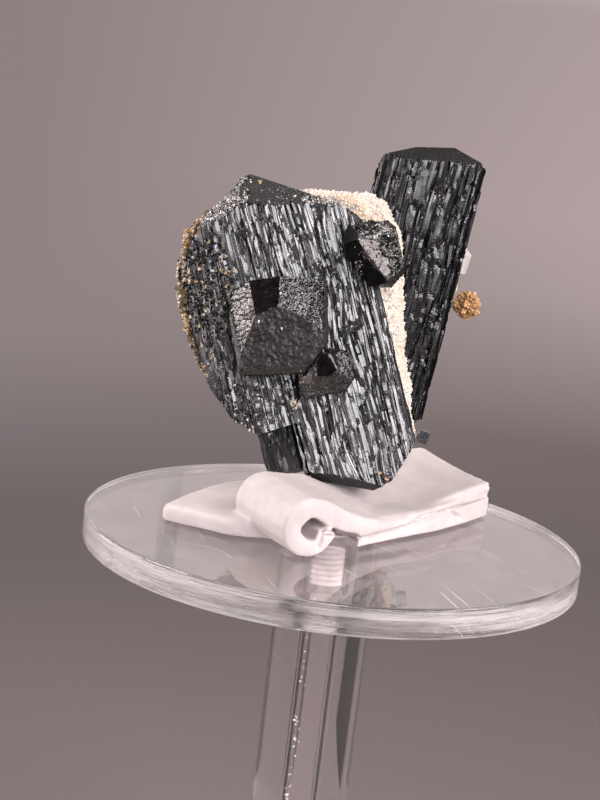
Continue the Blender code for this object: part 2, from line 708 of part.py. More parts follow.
def rounded_slab(outline, thickness, inset):
    """Flat piece of putty: an outline raised to a thickness, its top edge drawn in."""
    bm = bmesh.new()
    base = bm.faces.new([bm.verts.new((x, y, GAP)) for x, y in outline])
    raised = bmesh.ops.extrude_face_region(bm, geom=[base])
    ring = [part for part in raised["geom"] if isinstance(part, bmesh.types.BMVert)]
    bmesh.ops.translate(bm, vec=(0.0, 0.0, thickness), verts=ring)
    rim = [edge for edge in bm.edges if edge.verts[0] in ring and edge.verts[1] in ring]
    bmesh.ops.bevel(bm, geom=rim, offset=inset, segments=2, profile=0.5, affect="EDGES", material=-1)
    return bm


def putty_strip(finish):
    """Folded strip of white putty: a roll, a sheet that dips under the crystal, and layers below."""
    rings = []
    for outer_front, outer_back, inner_front, inner_back in strip_path():
        rings.append(putty_section(outer_front, outer_back, inner_front, inner_back, 0.0))
    for index, (front, back, thickness) in enumerate(STRIP_ROWS):
        front, back = Vector(front), Vector(back)
        drop = Vector((0.0, 0.0, thickness))
        sag = STRIP_SAG * math.sin(math.pi * (index + 1) / (len(STRIP_ROWS) + 1))
        rings.append(putty_section(front, back, front - drop, back - drop * 1.3, sag))
    strip = add_object("putty_strip", loft(rings), OVER_PLATE, finish)
    lower = rounded_slab(LOWER_LAYER, LOWER_THICKNESS, LOWER_ROUNDING)
    boolean(strip, add_helper("join_lower_layer", lower, OVER_PLATE), "UNION")
    tail = rounded_slab(TAIL, TAIL_THICKNESS, TAIL_ROUNDING)
    boolean(strip, add_helper("join_tail", tail, OVER_PLATE), "UNION")
    return strip


def clear_plate(finish):
    """Round plate with a countersunk hole for the screw."""
    low = PLATE_TOP - PLATE_THICKNESS
    plate = add_object("clear_plate", turned([
        (SCREW_HOLE_RADIUS, low), (PLATE_RADIUS - EDGE_BREAK, low), (PLATE_RADIUS, low + EDGE_BREAK),
        (PLATE_RADIUS, PLATE_TOP - EDGE_BREAK), (PLATE_RADIUS - EDGE_BREAK, PLATE_TOP),
        (SCREW_HEAD_RADIUS + GAP, PLATE_TOP), (SCREW_HOLE_RADIUS, PLATE_TOP - SCREW_HEAD_DEPTH - GAP),
    ], 64, True), IN_MM, finish)
    round_off(plate)
    return plate


def clear_rod(finish):
    """Rod between foot and plate, bored along its axis and tapped at its top."""
    low = FOOT_THICKNESS + GAP
    high = FOOT_THICKNESS + ROD_LENGTH - GAP
    rod = add_object("clear_rod", turned([
        (BORE_RADIUS, low), (ROD_RADIUS - EDGE_BREAK, low), (ROD_RADIUS, low + EDGE_BREAK),
        (ROD_RADIUS, high - EDGE_BREAK), (ROD_RADIUS - EDGE_BREAK, high), (SCREW_HOLE_RADIUS, high),
        (SCREW_HOLE_RADIUS, high - TAPPED_DEPTH), (BORE_RADIUS, high - TAPPED_DEPTH - DRILL_POINT),
    ], 32, True), IN_MM, finish)
    round_off(rod)
    return rod


def clear_foot(finish):
    """Round foot that the rod is glued to."""
    foot = add_object("clear_foot", turned([
        (0.0, 0.0), (FOOT_RADIUS - EDGE_BREAK, 0.0), (FOOT_RADIUS, EDGE_BREAK),
        (FOOT_RADIUS, FOOT_THICKNESS - EDGE_BREAK), (FOOT_RADIUS - EDGE_BREAK, FOOT_THICKNESS),
        (0.0, FOOT_THICKNESS),
    ], 56, False), IN_MM, finish)
    round_off(foot)
    return foot


def clear_screw(finish):
    """Countersunk screw, its thread as rings of the real pitch, with a slot in its head."""
    head_top = PLATE_TOP - SCREW_SUNK
    thread_top = head_top - SCREW_HEAD_DEPTH - SCREW_SHANK
    tip = head_top - SCREW_LENGTH
    profile = [(0.0, tip), (SCREW_ROOT, tip)]
    for ring in range(int((thread_top - tip) / SCREW_PITCH)):
        height = tip + THREAD_START + ring * SCREW_PITCH
        profile.append((SCREW_RADIUS, height + THREAD_CREST * SCREW_PITCH))
        profile.append((SCREW_ROOT, height + THREAD_VALLEY * SCREW_PITCH))
    profile += [(SCREW_RADIUS, thread_top), (SCREW_RADIUS, head_top - SCREW_HEAD_DEPTH),
                (SCREW_HEAD_RADIUS, head_top), (0.0, head_top)]
    screw = add_object("clear_screw", turned(profile, 16, False), IN_MM, finish)
    reach = SCREW_HEAD_RADIUS + 1.0
    slot = box((-reach, -SLOT_WIDTH / 2, head_top - SLOT_DEPTH), (reach, SLOT_WIDTH / 2, head_top + 1.0))
    boolean(screw, add_helper("screw_slot", slot, IN_MM), "DIFFERENCE")
    round_off(screw)
    return screw


def build():
    """Make every piece, then keep neighbours apart by the gap."""
    clear_scene()
    ilvaite = material("ilvaite", (0.016, 0.017, 0.020), 0.34, ior=1.8)
    quartz = material("quartz_crust", (0.72, 0.65, 0.58), 0.45)
    milky = material("milky_quartz", (0.80, 0.76, 0.72), 0.25, transmission=0.3)
    sphalerite = material("sphalerite", (0.035, 0.028, 0.028), 0.35, ior=2.0)
    siderite = material("siderite", (0.42, 0.25, 0.10), 0.6)
    putty = material("putty", (0.80, 0.74, 0.73), 0.55)
    acrylic = material("clear_acrylic", (0.95, 0.94, 0.94), 0.03, transmission=1.0, ior=1.49)

    front = front_crystal(ilvaite)
    back = back_crystal(ilvaite)
    druse = quartz_druse(quartz)
    large = add_object("sphalerite_large", cut_block(SPHALERITE_LARGE), FRONT_FRAME, sphalerite)
    small = add_object("sphalerite_small", cut_block(SPHALERITE_SMALL), FRONT_FRAME, sphalerite)
    drusy = add_object("sphalerite_drusy", cut_block(SPHALERITE_DRUSY), FRONT_FRAME, sphalerite)
    point = quartz_point(milky)
    siderite_ball(siderite)
    ilvaite_chip(ilvaite)
    strip = putty_strip(putty)
    clear_plate(acrylic)
    clear_rod(acrylic)
    clear_foot(acrylic)
    clear_screw(acrylic)

    around_main = clearance("around_main", MAIN, FRONT_FRAME)
    around_left = clearance("around_left", LEFT, FRONT_FRAME)
    around_block = clearance("around_block", BLOCK, FRONT_FRAME)
    around_back = clearance("around_back", BACK, BACK_FRAME)
    around_large = add_helper("around_large", cut_block(SPHALERITE_LARGE, GAP), FRONT_FRAME)
    around_drusy = add_helper("around_drusy", cut_block(SPHALERITE_DRUSY, GAP), FRONT_FRAME)
    for piece in (druse, large, small, drusy, strip):
        boolean(piece, around_main, "DIFFERENCE")
    for piece in (druse, large):
        boolean(piece, around_left, "DIFFERENCE")
    for piece in (druse, strip):
        boolean(piece, around_block, "DIFFERENCE")
    for piece in (druse, point):
        boolean(piece, around_back, "DIFFERENCE")
    boolean(small, around_large, "DIFFERENCE")
    boolean(druse, around_drusy, "DIFFERENCE")


if __name__ == "__main__":
    build()
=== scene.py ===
"""Visual model of the ilvaite specimen on its clear display stand.

Every size is in millimetres unless a name or a comment says otherwise, and a piece's shape is
turned to metres when it is placed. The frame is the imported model's: the origin is the centre of the
foot's underside, +Z is up and the display side faces -Y.
"""

import logging
import math
import random
from collections.abc import Callable
from dataclasses import dataclass, field
from enum import Enum, IntEnum

import bmesh
import bpy
import numpy as np
from bmesh.types import BMEdge, BMVert, BMesh
from bpy.types import ID, Material, Mesh, Node, NodeSocket, NodeTree, Object
from mathutils import Euler, Matrix, Vector, bvhtree, noise


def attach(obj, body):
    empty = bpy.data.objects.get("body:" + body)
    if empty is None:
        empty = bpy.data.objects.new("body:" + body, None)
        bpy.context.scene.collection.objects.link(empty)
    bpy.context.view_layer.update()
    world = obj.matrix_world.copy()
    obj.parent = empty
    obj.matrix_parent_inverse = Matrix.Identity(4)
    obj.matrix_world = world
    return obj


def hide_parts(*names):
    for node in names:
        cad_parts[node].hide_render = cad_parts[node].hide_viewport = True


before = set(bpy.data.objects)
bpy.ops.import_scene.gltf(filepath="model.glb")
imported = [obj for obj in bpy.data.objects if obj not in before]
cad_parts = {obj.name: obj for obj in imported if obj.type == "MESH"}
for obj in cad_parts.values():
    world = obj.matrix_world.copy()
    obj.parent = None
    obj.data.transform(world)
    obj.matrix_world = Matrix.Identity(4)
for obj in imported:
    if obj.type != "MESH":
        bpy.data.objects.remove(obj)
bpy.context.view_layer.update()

LOG = logging.getLogger("ilvaite")

MM = 0.001
PLATE_TOP = 80.0
UP = Vector((0.0, 0.0, 1.0))


class Slot(Enum):
    """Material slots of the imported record."""

    ILVAITE = "ilvaite"
    QUARTZ_CRUST = "quartz_crust"
    MILKY_QUARTZ = "milky_quartz"
    SPHALERITE = "sphalerite"
    SIDERITE = "siderite"
    PUTTY = "putty"
    CLEAR_ACRYLIC = "clear_acrylic"


def placed(corner: tuple, turn: tuple) -> Matrix:
    """Matrix in metres for a shape drawn in mm with its axes turned at a corner over the plate.

    Args:
        corner: Place of the shape's origin, in mm over the plate.
        turn: Euler angles in degrees.

    Returns:
        The matrix from the shape's mm to the row frame.
    """
    place = Vector((corner[0], corner[1], corner[2] + PLATE_TOP)) * MM
    spin = Euler([math.radians(angle) for angle in turn], "XYZ").to_matrix().to_4x4()
    return Matrix.Translation(place) @ spin @ Matrix.Scale(MM, 4)


FRONT_CORNER = (-23.3, 5.0, 54.6)
FRONT_TURN = (-6.6, -20.9, -3.6)
BACK_CORNER = (3.5, 13.5, 66.4)
BACK_TURN = (-1.0, 7.0, 2.0)
FRONT_FRAME = placed(FRONT_CORNER, FRONT_TURN)
BACK_FRAME = placed(BACK_CORNER, BACK_TURN)
OVER_PLATE = placed((0.0, 0.0, 0.0), (0.0, 0.0, 0.0))
PIXELS_PER_MM = 5.45
IN_MM = Matrix.Scale(MM, 4)


# Materials


def linear(colour: str) -> tuple:
    """Linear RGBA of an sRGB hex colour.

    Args:
        colour: Six hex digits.

    Returns:
        Red, green, blue and alpha.
    """
    parts = [int(colour[i:i + 2], 16) / 255.0 for i in (0, 2, 4)]
    curved = [c / 12.92 if c <= 0.04045 else ((c + 0.055) / 1.055) ** 2.4 for c in parts]
    return (*curved, 1.0)


def fill(made: Node, inputs: dict) -> Node:
    """Set or link a node's inputs.

    Args:
        made: The node.
        inputs: Input name or index to a value, or to the output socket to link from.

    Returns:
        The node.
    """
    for name, value in inputs.items():
        if isinstance(value, NodeSocket):
            made.id_data.links.new(value, made.inputs[name])
        else:
            made.inputs[name].default_value = value
    return made


def node(tree: NodeTree, kind: str, inputs: dict = None, **settings) -> Node:
    """Add a shader node with its settings, values and links.

    Args:
        tree: Node tree to add to.
        kind: Blender's name of the node type, after "ShaderNode".
        inputs: Input name or index to a value, or to the output socket to link from.
        settings: Attributes of the node.

    Returns:
        The new node.
    """
    made = tree.nodes.new(f"ShaderNode{kind}")
    for name, value in settings.items():
        setattr(made, name, value)
    return fill(made, inputs or {})


def place_on(tree: NodeTree) -> NodeSocket:
    """Place on the object, in metres."""
    return node(tree, "TexCoord").outputs["Object"]


def tone_of(tree: NodeTree) -> NodeSocket:
    """Tone of each grain, from the tone attribute."""
    return node(tree, "Attribute", attribute_name="tone").outputs["Fac"]


def worked_out(tree: NodeTree, operation: str, *values) -> NodeSocket:
    """Result of a math node over values and sockets."""
    return node(tree, "Math", dict(enumerate(values)), operation=operation).outputs[0]


def clouds(tree: NodeTree, place: NodeSocket, scale: float, detail: float,
           roughness: float = 0.5) -> NodeSocket:
    """Noise texture.

    Args:
        tree: Node tree to add to.
        place: Socket with the coordinates.
        scale: Scale over the coordinates.
        detail: Number of finer octaves.
        roughness: Weight of the finer octaves.

    Returns:
        The noise's value socket.
    """
    return node(tree, "TexNoise", {
        "Vector": place, "Scale": scale, "Detail": detail, "Roughness": roughness,
    }).outputs["Fac"]


def spread(tree: NodeTree, value: NodeSocket, low: float, high: float,
           to_low: float = 0.0, to_high: float = 1.0, **settings) -> NodeSocket:
    """Value moved from one range to another.

    Args:
        tree: Node tree to add to.
        value: Socket with the value.
        low: Value that becomes to_low.
        high: Value that becomes to_high.
        to_low: Result at low.
        to_high: Result at high.
        settings: Attributes of the node.

    Returns:
        The result's socket.
    """
    return node(tree, "MapRange", {
        "Value": value, "From Min": low, "From Max": high, "To Min": to_low, "To Max": to_high,
    }, **settings).outputs["Result"]


def bump(tree: NodeTree, height: NodeSocket, strength: float, depth: float,
         under: NodeSocket = None) -> NodeSocket:
    """Relief from a height.

    Args:
        tree: Node tree to add to.
        height: Socket with the height.
        strength: How strongly it shows.
        depth: Its depth in mm.
        under: Normal socket of a relief that this one lies on.

    Returns:
        The normal's socket.
    """
    inputs = {"Height": height, "Strength": strength, "Distance": depth * MM}
    if under is not None:
        inputs["Normal"] = under
    return node(tree, "Bump", inputs).outputs["Normal"]


def mixed(tree: NodeTree, share: NodeSocket, first: NodeSocket,
          second: object) -> NodeSocket:
    """Colour between two colours.

    Args:
        tree: Node tree to add to.
        share: Socket with the second colour's share.
        first: Socket with the first colour.
        second: The second colour or its socket.

    Returns:
        The colour's socket.
    """
    return node(tree, "Mix", {0: share, 6: first, 7: second}, data_type="RGBA").outputs[2]


def ramp(tree: NodeTree, source: NodeSocket, *stops: tuple) -> NodeSocket:
    """Colour ramp over a value.

    Args:
        tree: Node tree to add to.
        source: Socket with the value.
        stops: Pairs of position and sRGB hex colour, in order.

    Returns:
        The ramp's colour socket.
    """
    made = node(tree, "ValToRGB", {"Fac": source})
    ends = made.color_ramp.elements
    while len(ends) < len(stops):
        ends.new(0.5)
    for end, (position, colour) in zip(ends, stops):
        end.position = position
        end.color = linear(colour)
    return made.outputs["Color"]


def blank_material(name: str) -> tuple:
    """New material with an empty Principled shader.

    Args:
        name: The material's name.

    Returns:
        The material, its node tree and its Principled node.
    """
    made = bpy.data.materials.new(name)
    made.use_nodes = True
    tree = made.node_tree
    return made, tree, tree.nodes["Principled BSDF"]


class Finish:
    """A real surface's finish. Each kind says what its Principled shader is given."""

    def inputs(self, tree: NodeTree) -> dict:
        """Inputs of the shader, which each kind of finish works out itself."""
        raise NotImplementedError

    def material(self) -> Material:
        """Make the material.

        Returns:
            The material, named for the finish.
        """
        made, tree, shader = blank_material(self.name)
        fill(shader, self.inputs(tree))
        return made


@dataclass(frozen=True)
class StriatedIlvaite(Finish):
    """Ilvaite as it grew: black, with a glassy to submetallic gloss broken by fine striations."""

    name: str
    corner: tuple
    turn: tuple
    dark: str = "0c0c0e"
    light: str = "1d1c1f"
    roughness: float = 0.24
    striation: float = 0.16
    stretch: float = 0.025
    grit: float = 0.35
    line_relief: float = 0.4
    line_depth: float = 0.06
    grit_relief: float = 0.08
    gloss: float = 0.7
    grit_depth: float = 0.06

    def inputs(self, tree: NodeTree) -> dict:
        """Striations along the crystal's own Z axis, with grit between them.

        Args:
            tree: The material's node tree.

        Returns:
            Inputs of its shader.
        """
        corner = Vector((self.corner[0], self.corner[1], self.corner[2] + PLATE_TOP)) * MM
        local = node(tree, "Mapping", {
            "Vector": place_on(tree), "Location": corner,
            "Rotation": [math.radians(angle) for angle in self.turn],
        }, vector_type="TEXTURE").outputs["Vector"]
        fine = 1.0 / (self.striation * MM)
        drawn_out = node(tree, "Mapping", {"Vector": local, "Scale": (fine, fine, fine * self.stretch)})
        lines = clouds(tree, drawn_out.outputs["Vector"], 1.0, 3.0, 0.6)
        grit = clouds(tree, local, 1.0 / (self.grit * MM), 4.0, 0.65)
        patch = clouds(tree, local, 160.0, 2.0)
        ribbed = bump(tree, lines, self.line_relief, self.line_depth)
        return {
            "Base Color": ramp(tree, patch, (0.3, self.dark), (0.75, self.light)),
            "Roughness": spread(tree, grit, 0.3, 0.7, self.roughness - 0.07, self.roughness + 0.12),
            "Normal": bump(tree, grit, self.grit_relief, self.grit_depth, ribbed),
            "IOR": 2.0,
            "Specular IOR Level": self.gloss,
        }


@dataclass(frozen=True)
class SugaryQuartz(Finish):
    """Crust of tiny quartz crystals: cream white, glinting, a little see-through at its edges."""

    name: str = "sugary_quartz"
    pale: str = "efe5da"
    cream: str = "e4d0bb"
    stain: str = "c9a474"
    rim: str = "7d6a50"
    rim_from: float = -22.8
    rim_full: float = -26.2
    grain: float = 0.6

    def inputs(self, tree: NodeTree) -> dict:
        """Cream in patches, each grain in its own tone, stained brown at the left rim.

        Args:
            tree: The material's node tree.

        Returns:
            Inputs of its shader.
        """
        place = place_on(tree)
        patch = clouds(tree, place, 110.0, 3.0, 0.6)
        grains = clouds(tree, place, 1.0 / (self.grain * MM), 3.0)
        own = worked_out(tree, "MULTIPLY", tone_of(tree), 0.35)
        cream = ramp(tree, worked_out(tree, "MULTIPLY_ADD", patch, 0.75, own),
                     (0.24, self.stain), (0.36, self.cream), (0.52, self.pale))
        across = node(tree, "SeparateXYZ", {"Vector": place}).outputs["X"]
        left = spread(tree, across, self.rim_from * MM, self.rim_full * MM)
        return {
            "Base Color": mixed(tree, left, cream, linear(self.rim)),
            "Normal": bump(tree, grains, 0.5, 0.1),
            "Roughness": 0.28,
            "IOR": 1.54,
            "Subsurface Weight": 0.25,
            "Subsurface Radius": (1.0, 0.8, 0.65),
            "Subsurface Scale": 0.0008,
        }


@dataclass(frozen=True)
class MilkyQuartz(Finish):
    """Quartz crystal clouded by tiny bubbles, clearer in some places than in others."""

    name: str = "milky_quartz"

    def inputs(self, tree: NodeTree) -> dict:
        """Clouds that are milky white or partly clear.

        Args:
            tree: The material's node tree.

        Returns:
            Inputs of its shader.
        """
        cloud = clouds(tree, place_on(tree), 450.0, 4.0, 0.6)
        return {
            "Base Color": ramp(tree, cloud, (0.3, "e6dcd4"), (0.65, "f8f3ee")),
            "Transmission Weight": spread(tree, cloud, 0.35, 0.65, 0.05, 0.4),
            "Roughness": 0.12,
            "IOR": 1.54,
        }


@dataclass(frozen=True)
class ResinousSphalerite(Finish):
    """Iron-rich sphalerite: near black with a red-brown cast and a resinous to adamantine gloss."""

    name: str
    dark: str = "060505"
    light: str = "171213"
    roughness: float = 0.3
    relief: float = 0.45
    strength: float = 0.5
    lines: float = 0.5
    gloss: float = 0.4
    centre: tuple = (-1.0, -4.0, -14.0)
    bend: float = 1.6

    def inputs(self, tree: NodeTree) -> dict:
        """Fine growth texture over faint curved lines.

        Args:
            tree: The material's node tree.

        Returns:
            Inputs of its shader.
        """
        place = place_on(tree)
        wander = node(tree, "TexNoise", {"Vector": place, "Scale": 260.0, "Detail": 2.0})
        shift = node(tree, "VectorMath", {
            0: wander.outputs["Color"], 1: (self.bend * MM,) * 3,
        }, operation="MULTIPLY")
        bent = node(tree, "VectorMath", {0: place, 1: shift.outputs[0]}, operation="ADD").outputs[0]
        growth = clouds(tree, bent, 1.0 / (self.relief * MM), 5.0, 0.62)
        patch = clouds(tree, place, 500.0, 3.0)
        centred = node(tree, "Mapping", {
            "Vector": bent, "Location": FRONT_FRAME @ Vector(self.centre),
        }, vector_type="TEXTURE")
        rings = node(tree, "TexWave", {
            "Vector": centred.outputs["Vector"], "Scale": 420.0, "Distortion": 7.0, "Detail": 4.0,
            "Detail Scale": 1.4, "Detail Roughness": 0.65,
        }, wave_type="RINGS", rings_direction="SPHERICAL").outputs["Fac"]
        curved = bump(tree, rings, self.lines, 0.06)
        return {
            "Base Color": ramp(tree, patch, (0.35, self.dark), (0.68, self.light)),
            "Roughness": spread(tree, growth, 0.3, 0.7, self.roughness - 0.08, self.roughness + 0.14),
            "Normal": bump(tree, growth, self.strength, 0.25, curved),
            "IOR": 2.37,
            "Specular IOR Level": self.gloss,
        }


@dataclass(frozen=True)
class Siderite(Finish):
    """Botryoidal siderite: dull tan crust, darker and rustier in its pits."""

    name: str = "siderite"
    pit: str = "7a4a20"
    body: str = "d0a066"
    tip: str = "f0d2a4"

    def inputs(self, tree: NodeTree) -> dict:
        """Tan from the tone attribute and a fine grain.

        Args:
            tree: The material's node tree.

        Returns:
            Inputs of its shader.
        """
        grain = clouds(tree, place_on(tree), 2200.0, 4.0, 0.65)
        own = worked_out(tree, "MULTIPLY", tone_of(tree), 0.6)
        return {
            "Base Color": ramp(tree, worked_out(tree, "MULTIPLY_ADD", grain, 0.6, own),
                               (0.28, self.pit), (0.55, self.body), (0.85, self.tip)),
            "Normal": bump(tree, grain, 0.6, 0.1),
            "Roughness": 0.55,
            "IOR": 1.7,
        }


@dataclass(frozen=True)
class TonedGrains(Finish):
    """Loose mineral grains on the crystals, each in its own tone between a few real colours."""

    name: str
    tones: tuple
    roughness: float = 0.3
    ior: float = 1.6

    def inputs(self, tree: NodeTree) -> dict:
        """Colour from the tone attribute, with a fine relief.

        Args:
            tree: The material's node tree.

        Returns:
            Inputs of its shader.
        """
        return {
            "Base Color": ramp(tree, tone_of(tree), *self.tones),
            "Normal": bump(tree, clouds(tree, place_on(tree), 3000.0, 3.0), 0.4, 0.08),
            "Roughness": self.roughness,
            "IOR": self.ior,
        }


@dataclass(frozen=True)
class MountingPutty(Finish):
    """Oil-based mounting putty pressed by hand: warm white, soft sheen, faint finger marks."""

    name: str = "mounting_putty"
    body: str = "d6cdcc"
    shade: str = "cfc4c3"

    def inputs(self, tree: NodeTree) -> dict:
        """Wide dents with a finer skin over them.

        Args:
            tree: The material's node tree.

        Returns:
            Inputs of its shader.
        """
        place = place_on(tree)
        dents = clouds(tree, place, 330.0, 3.0)
        skin = clouds(tree, place, 2600.0, 2.0)
        return {
            "Base Color": ramp(tree, dents, (0.35, self.shade), (0.65, self.body)),
            "Normal": bump(tree, skin, 0.12, 0.05, bump(tree, dents, 0.25, 0.4)),
            "Roughness": 0.5,
            "Subsurface Weight": 0.3,
            "Subsurface Radius": (1.0, 0.85, 0.8),
            "Subsurface Scale": 0.0015,
        }


class Wear(Enum):
    """What marks a clear surface."""

    NONE = "none"
    SCRATCHES = "scratches from handling"
    STREAKS = "streaks of an edge polished by flame"


@dataclass(frozen=True)
class CastAcrylic(Finish):
    """Polished cast acrylic: clear, bright at its cut edges, with fine scratches from handling."""

    name: str
    wear: Wear = Wear.NONE
    clear: float = 0.98
    roughness: float = 0.015
    scratched: float = 0.2

    def inputs(self, tree: NodeTree) -> dict:
        """Clear plastic with its wear.

        Args:
            tree: The material's node tree.

        Returns:
            Inputs of its shader.
        """
        found = {
            "Base Color": linear("f7f2f2"), "Roughness": self.roughness, "IOR": 1.49,
            "Transmission Weight": self.clear,
        }
        if self.wear is Wear.STREAKS:
            found.update(self.streaks(tree))
        if self.wear is Wear.SCRATCHES:
            found.update(self.scratches(tree))
        return found

    def streaks(self, tree: NodeTree) -> dict:
        """Level streaks round an edge, cloudy and a little wavy.

        Args:
            tree: The material's node tree.

        Returns:
            The shader inputs that they change.
        """
        flat = node(tree, "Mapping", {"Vector": place_on(tree), "Scale": (30.0, 30.0, 700.0)})
        lines = clouds(tree, flat.outputs["Vector"], 1.0, 4.0, 0.65)
        return {
            "Transmission Weight": spread(tree, lines, 0.4, 0.66, self.clear, 0.5),
            "Normal": bump(tree, lines, 0.35, 0.5),
        }

    def scratches(self, tree: NodeTree) -> dict:
        """Thin scratches in two directions over a faint haze.

        Args:
            tree: The material's node tree.

        Returns:
            The shader inputs that they change.
        """
        place = place_on(tree)
        cuts = []
        for turn, scale in ((0.31, 300.0), (0.64, 240.0)):
            local = node(tree, "Mapping", {
                "Vector": place, "Rotation": (0.0, 0.0, turn),
                "Scale": (1.0 / (scale * 9.0), 1.0 / (scale * 0.14), 1.0 / (scale * 0.3)),
            }, vector_type="TEXTURE")
            cuts.append(spread(tree, clouds(tree, local.outputs["Vector"], 1.0, 1.0), 0.74, 0.79))
        marks = worked_out(tree, "MAXIMUM", *cuts)
        haze = spread(tree, clouds(tree, place, 140.0, 5.0, 0.65), 0.35, 0.7, self.clear, self.clear - 0.05)
        return {
            "Transmission Weight": worked_out(tree, "MULTIPLY_ADD", marks, -0.4, haze),
            "Roughness": spread(tree, marks, 0.0, 1.0, self.roughness, self.scratched),
        }


# Shape helpers


def linked(name: str, data: ID) -> Object:
    """New object in the scene, of a mesh, a light or a camera.

    Args:
        name: Its name.
        data: What it shows.

    Returns:
        The object.
    """
    made = bpy.data.objects.new(name, data)
    bpy.context.scene.collection.objects.link(made)
    return made


def solid(name: str, bm: BMesh, matrix: Matrix, *finishes: Material,
          smooth: float = 0.0) -> Object:
    """Turn a bmesh drawn in mm into an object in metres.

    Args:
        name: Name of the piece.
        bm: The shape, which is freed.
        matrix: From the shape's mm to the row frame.
        finishes: Its materials.
        smooth: Angle in degrees under which edges are shaded smooth, or 0 for flat faces.

    Returns:
        The new object, at the origin.
    """
    bmesh.ops.transform(bm, matrix=matrix, verts=bm.verts)
    bmesh.ops.recalc_face_normals(bm, faces=bm.faces)
    mesh = bpy.data.meshes.new(name)
    bm.to_mesh(mesh)
    bm.free()
    for finish in finishes:
        mesh.materials.append(finish)
    if smooth:
        mesh.shade_smooth()
        mesh.set_sharp_from_angle(angle=math.radians(smooth))
    return linked(name, mesh)


def smoothed(bm: BMesh, rounds: int) -> None:
    """Smooth a mesh in some rounds."""
    for _ in range(rounds):
        bmesh.ops.smooth_vert(
            bm, verts=bm.verts, factor=0.5, use_axis_x=True, use_axis_y=True, use_axis_z=True,
        )


def pushed(bm: BMesh, height: Callable) -> None:
    """Move all vertices at once along their normals, by what height gives in the mesh's units."""
    for vert, move in [(vert, vert.normal * height(vert)) for vert in bm.verts]:
        vert.co += move


def set_tones(mesh: Mesh, tones: list) -> None:
    """Store a tone for each vertex, from 0 to 1, in the tone attribute."""
    mesh.attributes.new("tone", "FLOAT", "POINT").data.foreach_set("value", tones)


@dataclass
class Relief:
    """Smooth random field over two directions, for cracks and swells that follow the striations."""

    seed: int
    across: float
    along: float
    size: int = 128

    def __post_init__(self) -> None:
        """Draw the field's corner values."""
        self.table = np.random.default_rng(self.seed).uniform(-1.0, 1.0, (self.size, self.size))

    def at(self, x: np.ndarray, z: np.ndarray) -> np.ndarray:
        """Values of the field, most of them between -1 and 1.

        Args:
            x: Places across, in mm.
            z: Places along, in mm.

        Returns:
            The values.
        """
        table, size = self.table, self.size
        u, v = np.broadcast_arrays(np.asarray(x) / self.across, np.asarray(z) / self.along)
        i, j = np.floor(u).astype(int), np.floor(v).astype(int)
        fu, fv = u - i, v - j
        fu, fv = fu * fu * (3.0 - 2.0 * fu), fv * fv * (3.0 - 2.0 * fv)
        i0, i1, j0, j1 = i % size, (i + 1) % size, j % size, (j + 1) % size
        low = table[i0, j0] * (1.0 - fu) + table[i1, j0] * fu
        high = table[i0, j1] * (1.0 - fu) + table[i1, j1] * fu
        return low * (1.0 - fv) + high * fv

    def seams(self, x: np.ndarray, z: np.ndarray, width: float) -> np.ndarray:
        """Thin wandering lines where the field passes zero, from 0 beside a line to 1 on it."""
        return np.clip(1.0 - np.abs(self.at(x, z)) / width, 0.0, 1.0)


def settle(piece: Object, slot: Slot, *nodes: str) -> Object:
    """Bind a piece to the frame: its body and the CAD nodes it stands for.

    Args:
        piece: The piece.
        slot: The record's slot for its finish; not used.
        nodes: Names of the CAD nodes that it replaces.

    Returns:
        The piece.
    """
    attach(piece, "root")
    if nodes:
        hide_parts(*nodes)
    LOG.info("%s: %d faces", piece.name, len(piece.data.polygons))
    return piece


def remeshed(name: str, voxel: float) -> BMesh:
    """Even fine mesh over a CAD node's shape.

    Args:
        name: The CAD node.
        voxel: Size of the mesh, in mm.

    Returns:
        The fine mesh in metres.
    """
    bm = bmesh.new()
    bm.from_mesh(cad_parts[name].data)
    bmesh.ops.remove_doubles(bm, verts=bm.verts, dist=1e-6)
    carrier = bpy.data.meshes.new("carrier")
    bm.to_mesh(carrier)
    helper = linked("carrier", carrier)
    step = helper.modifiers.new("even", "REMESH")
    step.mode = "VOXEL"
    step.voxel_size = voxel * MM
    bm.clear()
    bm.from_object(helper, bpy.context.evaluated_depsgraph_get())
    bpy.data.objects.remove(helper)
    bpy.data.meshes.remove(carrier)
    return bm


def close_rims(bm: BMesh) -> None:
    """Close every open rim of a mesh with one face."""
    bmesh.ops.edgeloop_fill(bm, edges=[edge for edge in bm.edges if edge.is_boundary])


def halve(bm: BMesh, point: Vector, direction: Vector) -> None:
    """Remove what lies beyond a plane and leave the cut open.

    Args:
        bm: The mesh.
        point: A point of the plane.
        direction: The plane's outward direction.
    """
    bmesh.ops.bisect_plane(
        bm, geom=bm.verts[:] + bm.edges[:] + bm.faces[:], dist=1e-5, plane_co=point,
        plane_no=direction, clear_outer=True,
    )


def cut_away(bm: BMesh, point: Vector, direction: Vector) -> None:
    """Remove what lies beyond a plane and close the cut.

    Args:
        bm: Closed mesh.
        point: A point of the plane.
        direction: The plane's outward direction.
    """
    bmesh.ops.triangulate(bm, faces=[face for face in bm.faces if len(face.verts) > 3])
    halve(bm, point, direction)
    close_rims(bm)


def face_through(a: tuple, b: tuple, c: tuple, up: bool = True) -> tuple:
    """Cutting plane through three points.

    Args:
        a: First point.
        b: Second point.
        c: Third point.
        up: True if the plane's outward side is its upper one.

    Returns:
        A point of the plane and its outward direction.
    """
    a, b, c = Vector(a), Vector(b), Vector(c)
    direction = (b - a).cross(c - a)
    return a, direction if (direction.z > 0.0) == up else -direction


